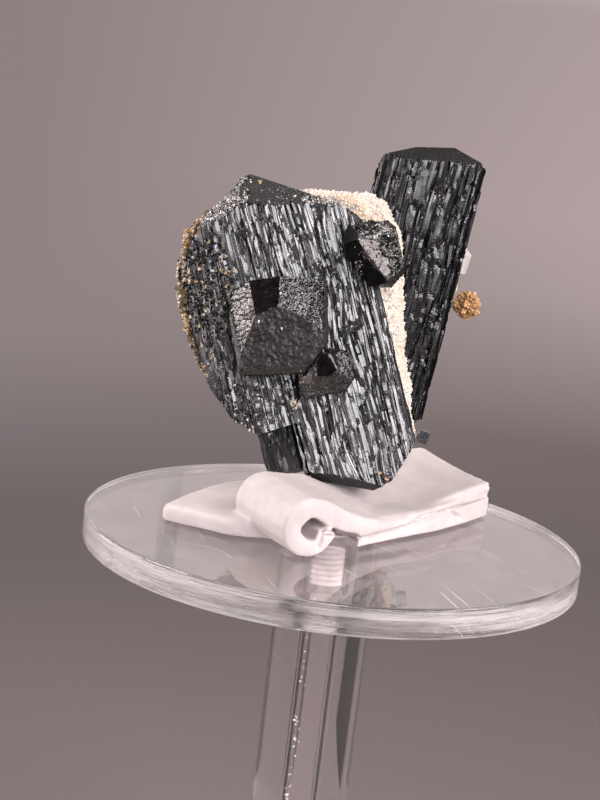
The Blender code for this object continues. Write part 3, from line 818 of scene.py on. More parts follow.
def inside(outline: tuple, x: float, y: float) -> bool:
    """Whether a point lies inside an outline.

    Args:
        outline: Corners in order.
        x: The point's first coordinate.
        y: Its second coordinate.

    Returns:
        True when it does.
    """
    found = False
    for (ax, ay), (bx, by) in zip(outline, outline[1:] + outline[:1]):
        if (ay > y) != (by > y) and x < (bx - ax) * (y - ay) / (by - ay) + ax:
            found = not found
    return found


def shape_arrays(bm: BMesh) -> tuple:
    """Vertices and triangles of a small shape, which is freed.

    Args:
        bm: The shape.

    Returns:
        Array of vertex places and array of triangles.
    """
    bmesh.ops.recalc_face_normals(bm, faces=bm.faces)
    bmesh.ops.triangulate(bm, faces=bm.faces)
    bm.verts.index_update()
    points = np.array([vert.co[:] for vert in bm.verts])
    faces = np.array([[vert.index for vert in face.verts] for face in bm.faces])
    bm.free()
    return points, faces


def corners_of(result: dict) -> list:
    """Vertices that an extrusion made."""
    return [part for part in result["geom"] if isinstance(part, BMVert)]


def quartz_tip(shoulder: float) -> tuple:
    """Six-sided prism, 1 across and 1 high, with a point a little off its axis, as arrays.

    Args:
        shoulder: Height at which the point begins.

    Returns:
        Vertices and triangles.
    """
    bm = bmesh.new()
    bmesh.ops.create_circle(bm, cap_ends=True, radius=0.5, segments=6)
    ring = corners_of(bmesh.ops.extrude_face_region(bm, geom=bm.faces[:]))
    bmesh.ops.translate(bm, vec=(0.0, 0.0, shoulder), verts=ring)
    top = [face for face in bm.faces if all(vert in ring for vert in face.verts)]
    tip = corners_of(bmesh.ops.extrude_face_region(bm, geom=top))
    bmesh.ops.delete(bm, geom=top, context="FACES_ONLY")
    bmesh.ops.pointmerge(bm, verts=tip, merge_co=(0.08, 0.03, 1.0))
    return shape_arrays(bm)


def pebble() -> tuple:
    """Rough grain about 1 across, as arrays.

    Returns:
        Vertices and triangles.
    """
    bm = bmesh.new()
    bmesh.ops.create_icosphere(bm, subdivisions=1, radius=0.5)
    for vert in bm.verts:
        vert.co *= 1.0 + 0.35 * noise.noise(vert.co * 3.1)
    return shape_arrays(bm)


def blocky() -> tuple:
    """Blunt block about 1 across with one corner cut, as arrays.

    Returns:
        Vertices and triangles.
    """
    bm = bmesh.new()
    bmesh.ops.create_cube(bm, size=0.8)
    cut_away(bm, Vector((0.3, 0.25, 0.25)), Vector((0.7, 0.5, 0.6)))
    return shape_arrays(bm)


@dataclass
class Grains:
    """Many small copies of a few shapes, joined in one mesh with a tone for each copy."""

    name: str
    seed: int
    points: list = field(default_factory=list)
    faces: list = field(default_factory=list)
    tones: list = field(default_factory=list)
    count: int = 0

    def __post_init__(self) -> None:
        """Start the grains' own random draws."""
        self.rng = random.Random(self.seed)

    def add(self, shape: tuple, place: Vector, normal: Vector, size: Vector, lean: float,
            tone: float) -> None:
        """Add one grain.

        Args:
            shape: Vertices and triangles of the shape.
            place: Its foot, in metres.
            normal: Direction of its Z axis.
            size: Its sizes, in mm.
            lean: Most that it leans from the direction, in radians.
            tone: Its tone from 0 to 1.
        """
        rng = self.rng
        axis = Vector((rng.gauss(0.0, 1.0), rng.gauss(0.0, 1.0), rng.gauss(0.0, 1.0))).normalized()
        turn = Matrix.Rotation(rng.uniform(-lean, lean), 3, axis)
        spin = Matrix.Rotation(rng.uniform(0.0, math.tau), 3, "Z")
        matrix = turn @ UP.rotation_difference(normal).to_matrix() @ spin
        rotate = np.array(matrix) * (np.array(size) * MM)[None, :]
        points, faces = shape
        self.points.append(points @ rotate.T + np.array(place))
        self.faces.append(faces + self.count)
        self.tones.append(np.full(len(points), tone))
        self.count += len(points)

    def piece(self, finish: Material) -> Object:
        """Join the grains in one object.

        Args:
            finish: Their material.

        Returns:
            The object.
        """
        mesh = bpy.data.meshes.new(self.name)
        faces = np.concatenate(self.faces)
        mesh.from_pydata(np.concatenate(self.points).tolist(), [], faces.tolist())
        set_tones(mesh, np.concatenate(self.tones))
        mesh.materials.append(finish)
        return linked(self.name, mesh)


class Surface:
    """A piece's triangles, for placing grains on it."""

    def __init__(self, piece: Object) -> None:
        """Read the triangles.

        Args:
            piece: Piece at the origin.
        """
        mesh = piece.data
        mesh.calc_loop_triangles()
        count = len(mesh.loop_triangles)
        corners = np.empty(count * 3, dtype=np.int32)
        mesh.loop_triangles.foreach_get("vertices", corners)
        places = np.empty(len(mesh.vertices) * 3)
        mesh.vertices.foreach_get("co", places)
        self.triangles = places.reshape(-1, 3)[corners.reshape(-1, 3)]
        sides = np.cross(
            self.triangles[:, 1] - self.triangles[:, 0], self.triangles[:, 2] - self.triangles[:, 0],
        )
        self.areas = np.linalg.norm(sides, axis=1) / 2.0
        self.normals = sides / np.maximum(self.areas[:, None] * 2.0, 1e-15)
        self.centres = self.triangles.mean(axis=1)
        self.finish = np.empty(count, dtype=np.int32)
        mesh.loop_triangles.foreach_get("material_index", self.finish)

    def scatter(self, count: int, weights: np.ndarray, rng: random.Random) -> list:
        """Random places on the surface.

        Args:
            count: Number of places.
            weights: Weight of each triangle beside its area.
            rng: Random numbers.

        Returns:
            Pairs of place in metres and normal.
        """
        chances = self.areas * weights
        total = chances.sum()
        if total <= 0.0:
            return []
        reach = np.cumsum(chances) / total
        found = []
        for _ in range(count):
            index = min(int(np.searchsorted(reach, rng.random())), len(reach) - 1)
            u, v = rng.random(), rng.random()
            if u + v > 1.0:
                u, v = 1.0 - u, 1.0 - v
            a, b, c = self.triangles[index]
            found.append((Vector(a + (b - a) * u + (c - a) * v), Vector(self.normals[index])))
        return found


@dataclass(frozen=True)
class Patch:
    """Oval part of the photograph's frame, in pixels, where a few grains lie."""

    x: float
    y: float
    wide: float
    high: float
    count: int
    size: tuple
    tone: tuple


class PhotoRays:
    """Finds what a pixel of the photograph shows, so that a grain sits on the piece that carries it."""

    def __init__(self, *pieces: Object) -> None:
        """Read the pieces.

        Args:
            pieces: Pieces at the origin.
        """
        self.trees = []
        for piece in pieces:
            places = [vert.co.copy() for vert in piece.data.vertices]
            faces = [tuple(face.vertices) for face in piece.data.polygons]
            self.trees.append(bvhtree.BVHTree.FromPolygons(places, faces))

    def hit(self, x: float, y: float) -> tuple:
        """Nearest surface at a pixel.

        Args:
            x: Pixels from the left.
            y: Pixels from the top.

        Returns:
            Place and outward normal, or an empty tuple where nothing is hit.
        """
        start, direction = PhotoCamera().ray(x, y)
        found = [tree.ray_cast(start, direction) for tree in self.trees]
        found = [(reach, place, normal) for place, normal, _, reach in found if place is not None]
        if not found:
            return ()
        _, place, normal = min(found, key=lambda each: each[0])
        return place, (normal if normal.dot(direction) < 0.0 else -normal)

    def sprinkle(self, grains: Grains, shape: tuple, patches: tuple, lean: float = 0.8) -> None:
        """Lay grains in some patches.

        Args:
            grains: The grains to add to.
            shape: Vertices and triangles of one grain.
            patches: Where they lie.
            lean: Most that they lean, in radians.
        """
        rng = grains.rng
        for patch in patches:
            for _ in range(patch.count):
                angle, reach = rng.uniform(0.0, math.tau), rng.random() ** 0.5
                hit = self.hit(patch.x + math.cos(angle) * reach * patch.wide,
                               patch.y + math.sin(angle) * reach * patch.high)
                size, tone = rng.uniform(*patch.size), rng.uniform(*patch.tone)
                long = rng.uniform(0.7, 1.3)
                if hit:
                    grains.add(shape, hit[0], hit[1], Vector((size, size * long, size)), lean, tone)


# Striated crystals


class Growth(IntEnum):
    """Material index of each kind of growth on the ilvaite. The block's index takes a darker ilvaite copy,
    a painted shade.
    """

    SIDE = 0
    END = 1
    ROUGH = 2
    BLOCK = 3


@dataclass(frozen=True)
class Pit:
    """Missing piece of the front: from left to right, from bottom to top, and its depth."""

    left: float
    right: float
    low: float
    high: float
    depth: float


@dataclass(frozen=True)
class Level:
    """One size of striation: its depth, its cross tilt and the usual distance between breaks."""

    depth: float
    tilt: float
    length: float


class Flute:
    """One rib, or one band of ribs, that steps in and out and tilts at its own heights."""

    def __init__(self, rng: random.Random, low: float, high: float, level: Level) -> None:
        """Draw the breaks.

        Args:
            rng: Random numbers.
            low: Lowest height.
            high: Highest height.
            level: Sizes of the steps.
        """
        count = max(1, round((high - low) / level.length * rng.uniform(0.7, 1.3)))
        self.heights = np.array(sorted(rng.uniform(low, high) for _ in range(count)))
        self.depths = np.array([rng.random() ** 1.3 * level.depth for _ in range(count + 1)])
        self.tilts = np.array([rng.gauss(0.0, level.tilt) for _ in range(count + 1)])
        self.leans = np.array([rng.gauss(0.0, level.tilt * 0.1) for _ in range(count + 1)])

    def at(self, heights: np.ndarray, shift: float, across: float) -> np.ndarray:
        """Depth at some heights.

        Args:
            heights: Heights in mm.
            shift: How far the breaks are moved here.
            across: Distance from the rib's middle line.

        Returns:
            Depths in mm.
        """
        step = np.searchsorted(self.heights + shift, heights)
        middle = heights - np.mean(heights)
        return self.depths[step] + self.tilts[step] * across + self.leans[step] * np.sin(middle * 0.9)


@dataclass
class Side:
    """One side of a crystal's plan, from corner to corner."""

    start: Vector
    end: Vector

    def __post_init__(self) -> None:
        """Work out its length, its directions and whether it faces the viewer."""
        self.along = self.end - self.start
        self.length = self.along.length
        self.along.normalize()
        self.inward = Vector((-self.along.y, self.along.x))
        self.facing = self.inward.y > 0.35

    def around(self, x: float) -> float:
        """Where a place lies in the random fields, apart from those of the other sides."""
        return x + self.start.x * 1.3 + self.start.y * 7.7


@dataclass
class Rib:
    """One rib of a side, with the flutes it belongs to and what was drawn for it."""

    left: float
    right: float
    band: Flute
    group: Flute
    group_middle: float
    fine: Flute
    cracks: Flute
    slot: tuple
    shift: float
    slant: float
    edge: float
    lean: float


@dataclass
class StriatedForm:
    """A crystal's plan, its end faces and its striations, in its own axes."""

    plan: list
    low: float
    high: float
    faces: list
    seed: int
    rib: float = 0.34
    row: float = 0.5
    rear: float = 2.2
    fine: Level = Level(0.14, 0.22, 5.0)
    group: Level = Level(0.22, 0.10, 9.0)
    band: Level = Level(0.30, 0.05, 20.0)
    crack: float = 0.35
    crack_length: float = 6.0
    turned: tuple = (0.0, 0.0)
    seam: float = 0.42
    swell: float = 0.3
    slant: float = 0.8
    slots: float = 0.05
    slot_depth: float = 0.45
    rib_gap: float = 0.03
    step_height: float = 0.06
    lowest: float = 0.02
    pits: tuple = ()
    rough: tuple = ()

    def __post_init__(self) -> None:
        """Make the fields that bend and crack the ribs."""
        self.sway_wide = Relief(self.seed + 1, 2.9, 9.0)
        self.sway_fine = Relief(self.seed + 2, 1.1, 3.4)
        self.seams_wide = Relief(self.seed + 3, 1.0, 10.0)
        self.seams_fine = Relief(self.seed + 4, 0.55, 5.0)
        self.swells = Relief(self.seed + 5, 2.4, 12.0)

    def spans(self, length: float, width: float, rng: random.Random) -> list:
        """Random widths along one side.

        Args:
            length: Length of the side.
            width: Mean width of a rib.
            rng: Random numbers.

        Returns:
            Start and end of each rib.
        """
        marks = [0.0]
        while marks[-1] < length:
            marks.append(marks[-1] + width * rng.choice((0.35, 0.5, 0.7, 1.0, 1.4, 2.1)))
        scale = length / marks[-1]
        return [(a * scale, b * scale) for a, b in zip(marks, marks[1:])]

    def steps(self, flutes: list) -> np.ndarray:
        """Rows of one column, drawn together at the breaks of its ribs.

        Args:
            flutes: Pairs of flute and how far its breaks are moved here.

        Returns:
            Heights of the rows.
        """
        heights = np.arange(self.low, self.high + self.row, self.row)
        used = np.zeros(len(heights) + 2, dtype=bool)
        for flute, moved in flutes:
            for height in flute.heights + moved:
                row = int((height - self.low) / self.row)
                if 0 < row < len(heights) - 2 and not used[row - 1:row + 3].any():
                    heights[row] = height - self.step_height / 2.0
                    heights[row + 1] = height + self.step_height / 2.0
                    used[row] = used[row + 1] = True
        return heights

    def ribs(self, side: Side, rng: random.Random) -> list:
        """Random ribs along one side.

        Args:
            side: The side.
            rng: Random numbers.

        Returns:
            The ribs.
        """
        width = self.rib if side.facing else self.rib * self.rear
        spans = self.spans(side.length, width, rng)
        crack_level = Level(self.crack, 0.0, self.crack_length)
        band_left = group_left = 0
        found = []
        for index, (left, right) in enumerate(spans):
            if band_left == 0:
                band = Flute(rng, self.low, self.high, self.band)
                band_left = rng.randint(9, 22)
                group_left = 0
            if group_left == 0:
                group = Flute(rng, self.low, self.high, self.group)
                group_left = rng.randint(2, 7)
                group_middle = left + width * group_left / 2.0
            band_left -= 1
            group_left -= 1
            fine = Flute(rng, self.low, self.high, self.fine)
            cracked = right - left < width * 0.6 and rng.random() < 0.75
            cracks = Flute(rng, self.low, self.high, crack_level)
            slotted = rng.random() < self.slots
            slot_low = rng.uniform(self.low, self.high)
            slot_high = slot_low + rng.uniform(1.5, 6.0)
            shift = rng.gauss(0.0, 0.7)
            slant = rng.gauss(0.0, self.slant)
            share = (left + right) / 2.0 / side.length
            lean = self.turned[0] * (1.0 - share) + self.turned[1] * share
            edge = min(1.0, min(index, len(spans) - 1 - index) / 2.0)
            found.append(Rib(left, right, band, group, group_middle, fine, cracks if cracked else None,
                             (slot_low, slot_high) if slotted else (), shift, slant, edge,
                             lean if side.facing else 0.0))
        return found

    def depths(self, side: Side, rib: Rib, x: float, leaning: float, heights: np.ndarray) -> np.ndarray:
        """Depth of the surface along one column.

        Args:
            side: The side.
            rib: The column's rib.
            x: The column's place along the side.
            leaning: How far the rib's breaks are moved here.
            heights: Heights of the rows.

        Returns:
            The depths in mm.
        """
        moved, off, around = rib.shift + leaning, x - (rib.left + rib.right) / 2.0, side.around(x)
        depth = rib.fine.at(heights, leaning, off) + self.lowest + rib.lean * off
        depth += self.swell * (self.swells.at(around, heights) + 1.0) * rib.edge * 0.5
        depth += self.seam * self.seams_wide.seams(around, heights, 0.2)
        depth += self.seam * 0.55 * self.seams_fine.seams(around, heights, 0.22)
        depth += rib.group.at(heights, moved, x - rib.group_middle) * rib.edge
        depth += rib.band.at(heights, moved, 0.0) * rib.edge
        if rib.cracks:
            depth += rib.cracks.at(heights, leaning, 0.0)
        if rib.slot:
            depth += np.where((heights > rib.slot[0]) & (heights < rib.slot[1]), self.slot_depth, 0.0)
        place = side.start.x + side.along.x * x
        for pit in self.pits if side.facing else ():
            if pit.left < place < pit.right:
                jag = noise.noise(Vector((place * 1.7, pit.low, 0.0))) * 0.9
                missing = (heights > pit.low + jag) & (heights < pit.high + jag * 0.6)
                depth += np.where(missing, pit.depth, 0.0)
        return np.maximum(depth, 0.0)

    def columns(self, side: Side, rng: random.Random) -> list:
        """Columns of points on one side of the prism, two to a rib.

        Args:
            side: The side.
            rng: Random numbers.

        Returns:
            Arrays of points, from the bottom up.
        """
        found = []
        for rib in self.ribs(side, rng):
            inset = self.rib_gap / 2.0
            for x, leaning in ((rib.left + inset, -rib.slant), (rib.right - inset, rib.slant)):
                moved, around = rib.shift + leaning, side.around(x)
                flutes = [(rib.band, moved), (rib.group, moved), (rib.fine, leaning)]
                if rib.cracks:
                    flutes.append((rib.cracks, leaning))
                heights = self.steps(flutes)
                depth = self.depths(side, rib, x, leaning, heights)
                sway = self.sway_wide.at(around, heights) * 0.6 + self.sway_fine.at(around, heights) * 0.12
                sway *= min(1.0, min(x, side.length - x) / 2.0)
                found.append(np.stack([
                    side.start.x + side.along.x * (x + sway) + side.inward.x * depth,
                    side.start.y + side.along.y * (x + sway) + side.inward.y * depth,
                    heights,
                ], axis=1))
        return found

    def mesh(self) -> BMesh:
        """Closed mesh of the crystal.

        Returns:
            The mesh in the crystal's mm.
        """
        rng = random.Random(self.seed)
        corners = [Vector(point) for point in self.plan]
        columns = []
        for index, corner in enumerate(corners):
            columns += self.columns(Side(corner, corners[(index + 1) % len(corners)]), rng)
        across, rows = len(columns), len(columns[0])
        bm = bmesh.new()
        bmesh.ops.create_grid(bm, x_segments=across, y_segments=rows - 1, size=1.0)
        for vert in bm.verts:
            column = round((vert.co.x + 1.0) / 2.0 * across) % across
            row = round((vert.co.y + 1.0) / 2.0 * (rows - 1))
            vert.co = columns[column][row]
        rim = [vert for vert in bm.verts if vert.is_boundary]
        bmesh.ops.remove_doubles(bm, verts=rim, dist=1e-5)
        close_rims(bm)
        for point, direction in self.faces:
            cut_away(bm, Vector(point), Vector(direction).normalized())
        bmesh.ops.recalc_face_normals(bm, faces=bm.faces)
        self.mark_ends(bm)
        return bm

    def mark_ends(self, bm: BMesh) -> None:
        """Mark the end faces, and those of them that grew rough.

        Args:
            bm: The crystal's mesh.
        """
        for number, (point, direction) in enumerate(self.faces):
            point, outward = Vector(point), Vector(direction).normalized()
            growth = Growth.ROUGH if number in self.rough else Growth.END
            for face in bm.faces:
                off = abs((face.verts[0].co - point).dot(outward))
                if face.normal.dot(outward) > 0.999 and off < 2e-3:
                    face.material_index = growth


def outline_faces(outline: list) -> list:
    """Cutting planes along an outline in X and Z that runs clockwise as the viewer sees it.

    Args:
        outline: Points of the outline.

    Returns:
        Planes as a point and an outward direction.
    """
    return [((x0, 0.0, z0), (z0 - z1, 0.0, x1 - x0))
            for (x0, z0), (x1, z1) in zip(outline, outline[1:])]


CORNER = (0.0, 0.0, 0.0)
APEX = (2.6, 5.5, 6.4)
APEX_CORNER = (0.3, 3.3, 4.1)
BEHIND_APEX = (8.0, 11.5, -1.5)
TOP_RIGHT = (18.4, 0.0, -3.9)
BACK_RIDGE = ((2.7, 5.0, 2.7), (10.8, 5.0, 5.0))

MAIN = StriatedForm(
    plan=[(0.0, 0.0), (19.6, 0.0), (21.0, 1.8), (19.5, 8.5), (13.0, 11.5), (-1.5, 11.0)],
    low=-56.0, high=7.5, seed=11, rib=0.24, row=0.36,
    fine=Level(0.08, 0.15, 8.0), group=Level(0.18, 0.10, 13.0), band=Level(0.26, 0.05, 24.0),
    turned=(0.16, 0.30), rough=(1, 2),
    faces=[
        face_through(CORNER, TOP_RIGHT, APEX),
        face_through(CORNER, APEX_CORNER, (-1.2, 4.0, 0.8)),
        face_through(APEX_CORNER, APEX, (-1.6, 5.0, 4.4)),
        face_through(APEX, TOP_RIGHT, BEHIND_APEX),
        face_through(APEX, BEHIND_APEX, (-1.5, 11.0, 1.5)),
        ((18.0, 0.0, -3.6), (0.75, -0.1, 0.6)),
        ((7.7, 2.0, -53.3), (-0.38, 0.22, -0.9)),
        face_through((4.4, 0.0, -49.6), (10.8, 0.0, -52.5), (8.0, 2.0, -53.4), up=False),
        ((12.4, 2.0, -54.4), (0.35, 0.2, -0.9)),
        ((18.4, 0.0, -50.6), (0.7, 0.15, -0.7)),
    ],
    pits=(
        Pit(9.3, 10.1, -6.0, -1.0, 0.7), Pit(2.6, 3.4, -2.6, 0.4, 0.6),
        Pit(-0.9, 1.05, -52.0, -37.6, 3.4), Pit(0.9, 2.7, -36.0, -29.6, 2.6),
        Pit(12.9, 13.6, -42.6, -39.2, 0.9), Pit(6.2, 6.8, -43.6, -39.0, 0.8),
        Pit(14.4, 15.3, -30.2, -26.4, 0.8), Pit(3.2, 4.0, -46.4, -43.2, 0.7),
    ),
)

LEFT = StriatedForm(
    plan=[(-15.3, 7.0), (-10.5, 3.0), (-3.0, 0.7), (1.6, 0.4), (3.0, 9.0), (-6.0, 11.2), (-13.5, 10.0)],
    low=-42.0, high=7.0, seed=23, rib=0.31, row=0.38,
    fine=Level(0.10, 0.20, 3.2), group=Level(0.20, 0.12, 6.0), band=Level(0.30, 0.05, 14.0),
    turned=(0.15, 0.15), slots=0.02, rough=(7,),
    faces=outline_faces([
        (-7.5, -39.7), (-11.2, -36.4), (-14.3, -30.0), (-15.2, -22.0), (-14.9, -15.5),
        (-13.2, -9.0), (-12.3, -5.3), (-8.1, -0.4),
    ]) + [
        face_through(CORNER, APEX, (-8.1, 3.5, -0.4)),
        ((0.0, 0.0, -39.6), (0.05, -0.15, -1.0)),
        face_through(APEX, (-8.0, 11.0, -4.0), (3.0, 11.0, 3.0)),
    ],
)

BLOCK = StriatedForm(
    plan=[(-7.5, 5.5), (-6.4, 3.3), (-0.7, 2.7), (-0.4, 6.0), (3.0, 6.5), (3.0, 10.0), (-6.5, 10.0)],
    low=-56.0, high=-34.0, seed=32, rib=0.36, row=0.45,
    fine=Level(0.06, 0.09, 8.0), group=Level(0.10, 0.05, 14.0), band=Level(0.12, 0.03, 24.0), crack=0.2,
    slots=0.02,
    faces=[((-5.4, 3.0, -48.2), (0.0, -0.15, -1.0))],
)

BACK = StriatedForm(
    plan=[
        (0.0, 0.0), (15.8, 0.0), (17.2, 1.4), (16.4, 8.5), (12.0, 12.3), (3.0, 12.8), (-2.3, 9.5),
        (-2.1, 2.2),
    ],
    low=-56.0, high=6.0, seed=47, rib=0.32, row=0.4,
    fine=Level(0.10, 0.18, 8.0), group=Level(0.26, 0.11, 15.0), band=Level(0.3, 0.06, 26.0),
    slots=0.07, turned=(0.1, 0.1),
    faces=[
        face_through((0.0, 0.0, 0.1), (15.8, 0.0, 2.7), BACK_RIDGE[1]),
        face_through((17.1, 1.4, 2.1), BACK_RIDGE[1], (16.4, 8.5, -1.0)),
        face_through((-1.7, 2.2, 0.8), BACK_RIDGE[0], (-2.3, 9.5, -1.6)),
        face_through(BACK_RIDGE[0], BACK_RIDGE[1], (9.0, 12.8, -1.6)),
        ((8.0, 0.0, -50.0), (0.35, 0.3, -0.9)),
        ((4.0, 6.0, -53.0), (-0.2, -0.2, -0.95)),
    ],
)


def add_mesh(bm: BMesh, other: BMesh) -> None:
    """Join another bmesh, which is freed, to the first.

    Args:
        bm: The first bmesh.
        other: The one to join.
    """
    carrier = bpy.data.meshes.new("carrier")
    other.to_mesh(carrier)
    other.free()
    bm.from_mesh(carrier)
    bpy.data.meshes.remove(carrier)


@dataclass
class IlvaiteCrystals:
    """The front crystals, the tall one behind them and the chip at the crust's foot."""

    end_looks: dict = field(default_factory=lambda: {
        "dark": "121113", "light": "222022", "roughness": 0.36, "grit": 0.3, "line_relief": 0.05,
        "grit_relief": 1.0, "gloss": 0.2, "grit_depth": 0.3,
    })

    def front(self, finishes: list) -> Object:
        """Main crystal with the left one and the block grown into it.

        Args:
            finishes: Materials of its sides, its ends, its rough growth and its block. The sides' ilvaite
                is painted lighter than the back crystal's, as painted light; the block's is painted darker,
                as painted shade.

        Returns:
            The piece.
        """
        bm = MAIN.mesh()
        add_mesh(bm, LEFT.mesh())
        block = BLOCK.mesh()
        # The block's sides take the darker ilvaite copy, a painted shade.
        for face in block.faces:
            if face.material_index == Growth.SIDE:
                face.material_index = Growth.BLOCK
        add_mesh(bm, block)
        piece = solid("ilvaite_front_striated", bm, FRONT_FRAME, *finishes)
        return settle(piece, Slot.ILVAITE, "ilvaite_front")

    def build(self) -> Object:
        """Make and dress the crystals.

        Returns:
            The front crystals' piece.
        """
        # One black ilvaite in lit and shaded copies: the front sides are painted lighter than the back
        # crystal's as painted light, and the block darker as painted shade.
        front = [StriatedIlvaite(f"ilvaite_{name}", FRONT_CORNER, FRONT_TURN, **looks).material()
                 for name, looks in (
                     ("front_faces_painted_light", {"dark": "1f1e22", "light": "3a383d"}),
                     ("front_ends", self.end_looks),
                     ("rough_growth", {"dark": "1d1b1d", "light": "4a4547", "roughness": 0.35,
                                       "grit_relief": 1.0}),
                     ("block_faces_painted_shade", {"dark": "121114", "light": "28262a", "roughness": 0.3,
                                      "gloss": 0.25}))]
        back = [StriatedIlvaite("ilvaite_back_faces", BACK_CORNER, BACK_TURN, gloss=0.42).material(),
                StriatedIlvaite("ilvaite_back_ends", BACK_CORNER, BACK_TURN, **self.end_looks).material()]
        piece = self.front(front)
        settle(solid("ilvaite_back_striated", BACK.mesh(), BACK_FRAME, *back), Slot.ILVAITE, "ilvaite_back")
        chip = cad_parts["ilvaite_chip"]
        chip.data.materials.clear()
        chip.data.materials.append(front[Growth.SIDE])
        return piece


@dataclass
class QuartzCrust:
    """The druse between the crystals: a lumpy body under thousands of tiny quartz points."""

    voxel: float = 0.4
    fine_count: int = 8600
    rim_from: float = -23.5
    rim_width: float = 2.0
    rim_share: float = 0.12
    coarse_count: int = 2600
    sunk: float = 0.25
    back_from: float = 16.5
    back_full: float = 19.5
    seed: int = 5

    def body(self, finish: Material) -> Object:
        """Lumpy body in the CAD crust's place.

        Args:
            finish: Its material.

        Returns:
            The piece.
        """
        bm = remeshed("quartz_druse", self.voxel)
        smoothed(bm, 2)
        pushed(bm, lambda vert: (noise.noise(vert.co * 620.0) * 0.22 + noise.noise(vert.co * 1500.0) * 0.12
                                 - self.sunk) * MM)
        piece = solid("quartz_crust_body", bm, Matrix.Identity(4), finish)
        return settle(piece, Slot.QUARTZ_CRUST, "quartz_druse")

    def points(self, body: Object, finish: Material) -> None:
        """Tiny quartz points all over the body, few on its left rim and large ones on its back.

        Args:
            body: The crust's body.
            finish: Their material.
        """
        surface = Surface(body)
        tip, stub = quartz_tip(0.55), quartz_tip(0.2)
        x, y = surface.centres[:, 0] / MM, surface.centres[:, 1] / MM
        rear = np.clip((y - self.back_from) / (self.back_full - self.back_from), 0.0, 1.0)
        within = np.clip((x - self.rim_from) / self.rim_width + 1.0, self.rim_share, 1.0)
        fine = Grains("quartz_points_fine", self.seed)
        for place, normal in surface.scatter(self.fine_count, (1.15 - rear * 0.65) * within, fine.rng):
            size = fine.rng.uniform(0.34, 0.72)
            fine.add(stub if fine.rng.random() < 0.6 else tip, place - normal * 0.12 * MM, normal,
                     Vector((size, size, size * fine.rng.uniform(0.5, 0.9))), 0.9, fine.rng.random())
        settle(fine.piece(finish), Slot.QUARTZ_CRUST)
        coarse = Grains("quartz_points_coarse", self.seed + 1)
        for place, normal in surface.scatter(self.coarse_count, rear * 0.985 + 0.015, coarse.rng):
            size = coarse.rng.uniform(0.7, 1.5) * (1.35 if coarse.rng.random() < 0.08 else 1.0)
            coarse.add(tip, place - normal * 0.45 * MM, normal,
                       Vector((size, size, size * coarse.rng.uniform(0.9, 1.5))), 0.6,
                       coarse.rng.random())
        settle(coarse.piece(finish), Slot.QUARTZ_CRUST)

    def build(self) -> Object:
        """Make the crust.

        Returns:
            Its body.
        """
        finish = SugaryQuartz().material()
        body = self.body(finish)
        self.points(body, finish)
        return body


class Sheen(IntEnum):
    """Material index of each kind of sphalerite face. Pink ones, a lighter base that paints a highlight,
    are on the small crystals alone. On the drusy crystal the smooth index takes a near black that paints
    shade.
    """

    MAIN = 0
    SMOOTH = 1
    SPARKLING = 2
    RIBBED = 3
    PINK_PAINTED_HIGHLIGHT = 2


@dataclass(frozen=True)
class Facet:
    """One face of the large sphalerite: three points on it and how its surface grew."""

    points: tuple
    grain: float
    width: float
    ribs: float = 0.0
    pitch: float = 1.0
    finish: Sheen = Sheen.MAIN


@dataclass(frozen=True)
class Spot:
    """Face of a small sphalerite, outlined in pixels of the photograph, its roughness in mm."""

    outline: tuple
    depth: float
    finish: Sheen


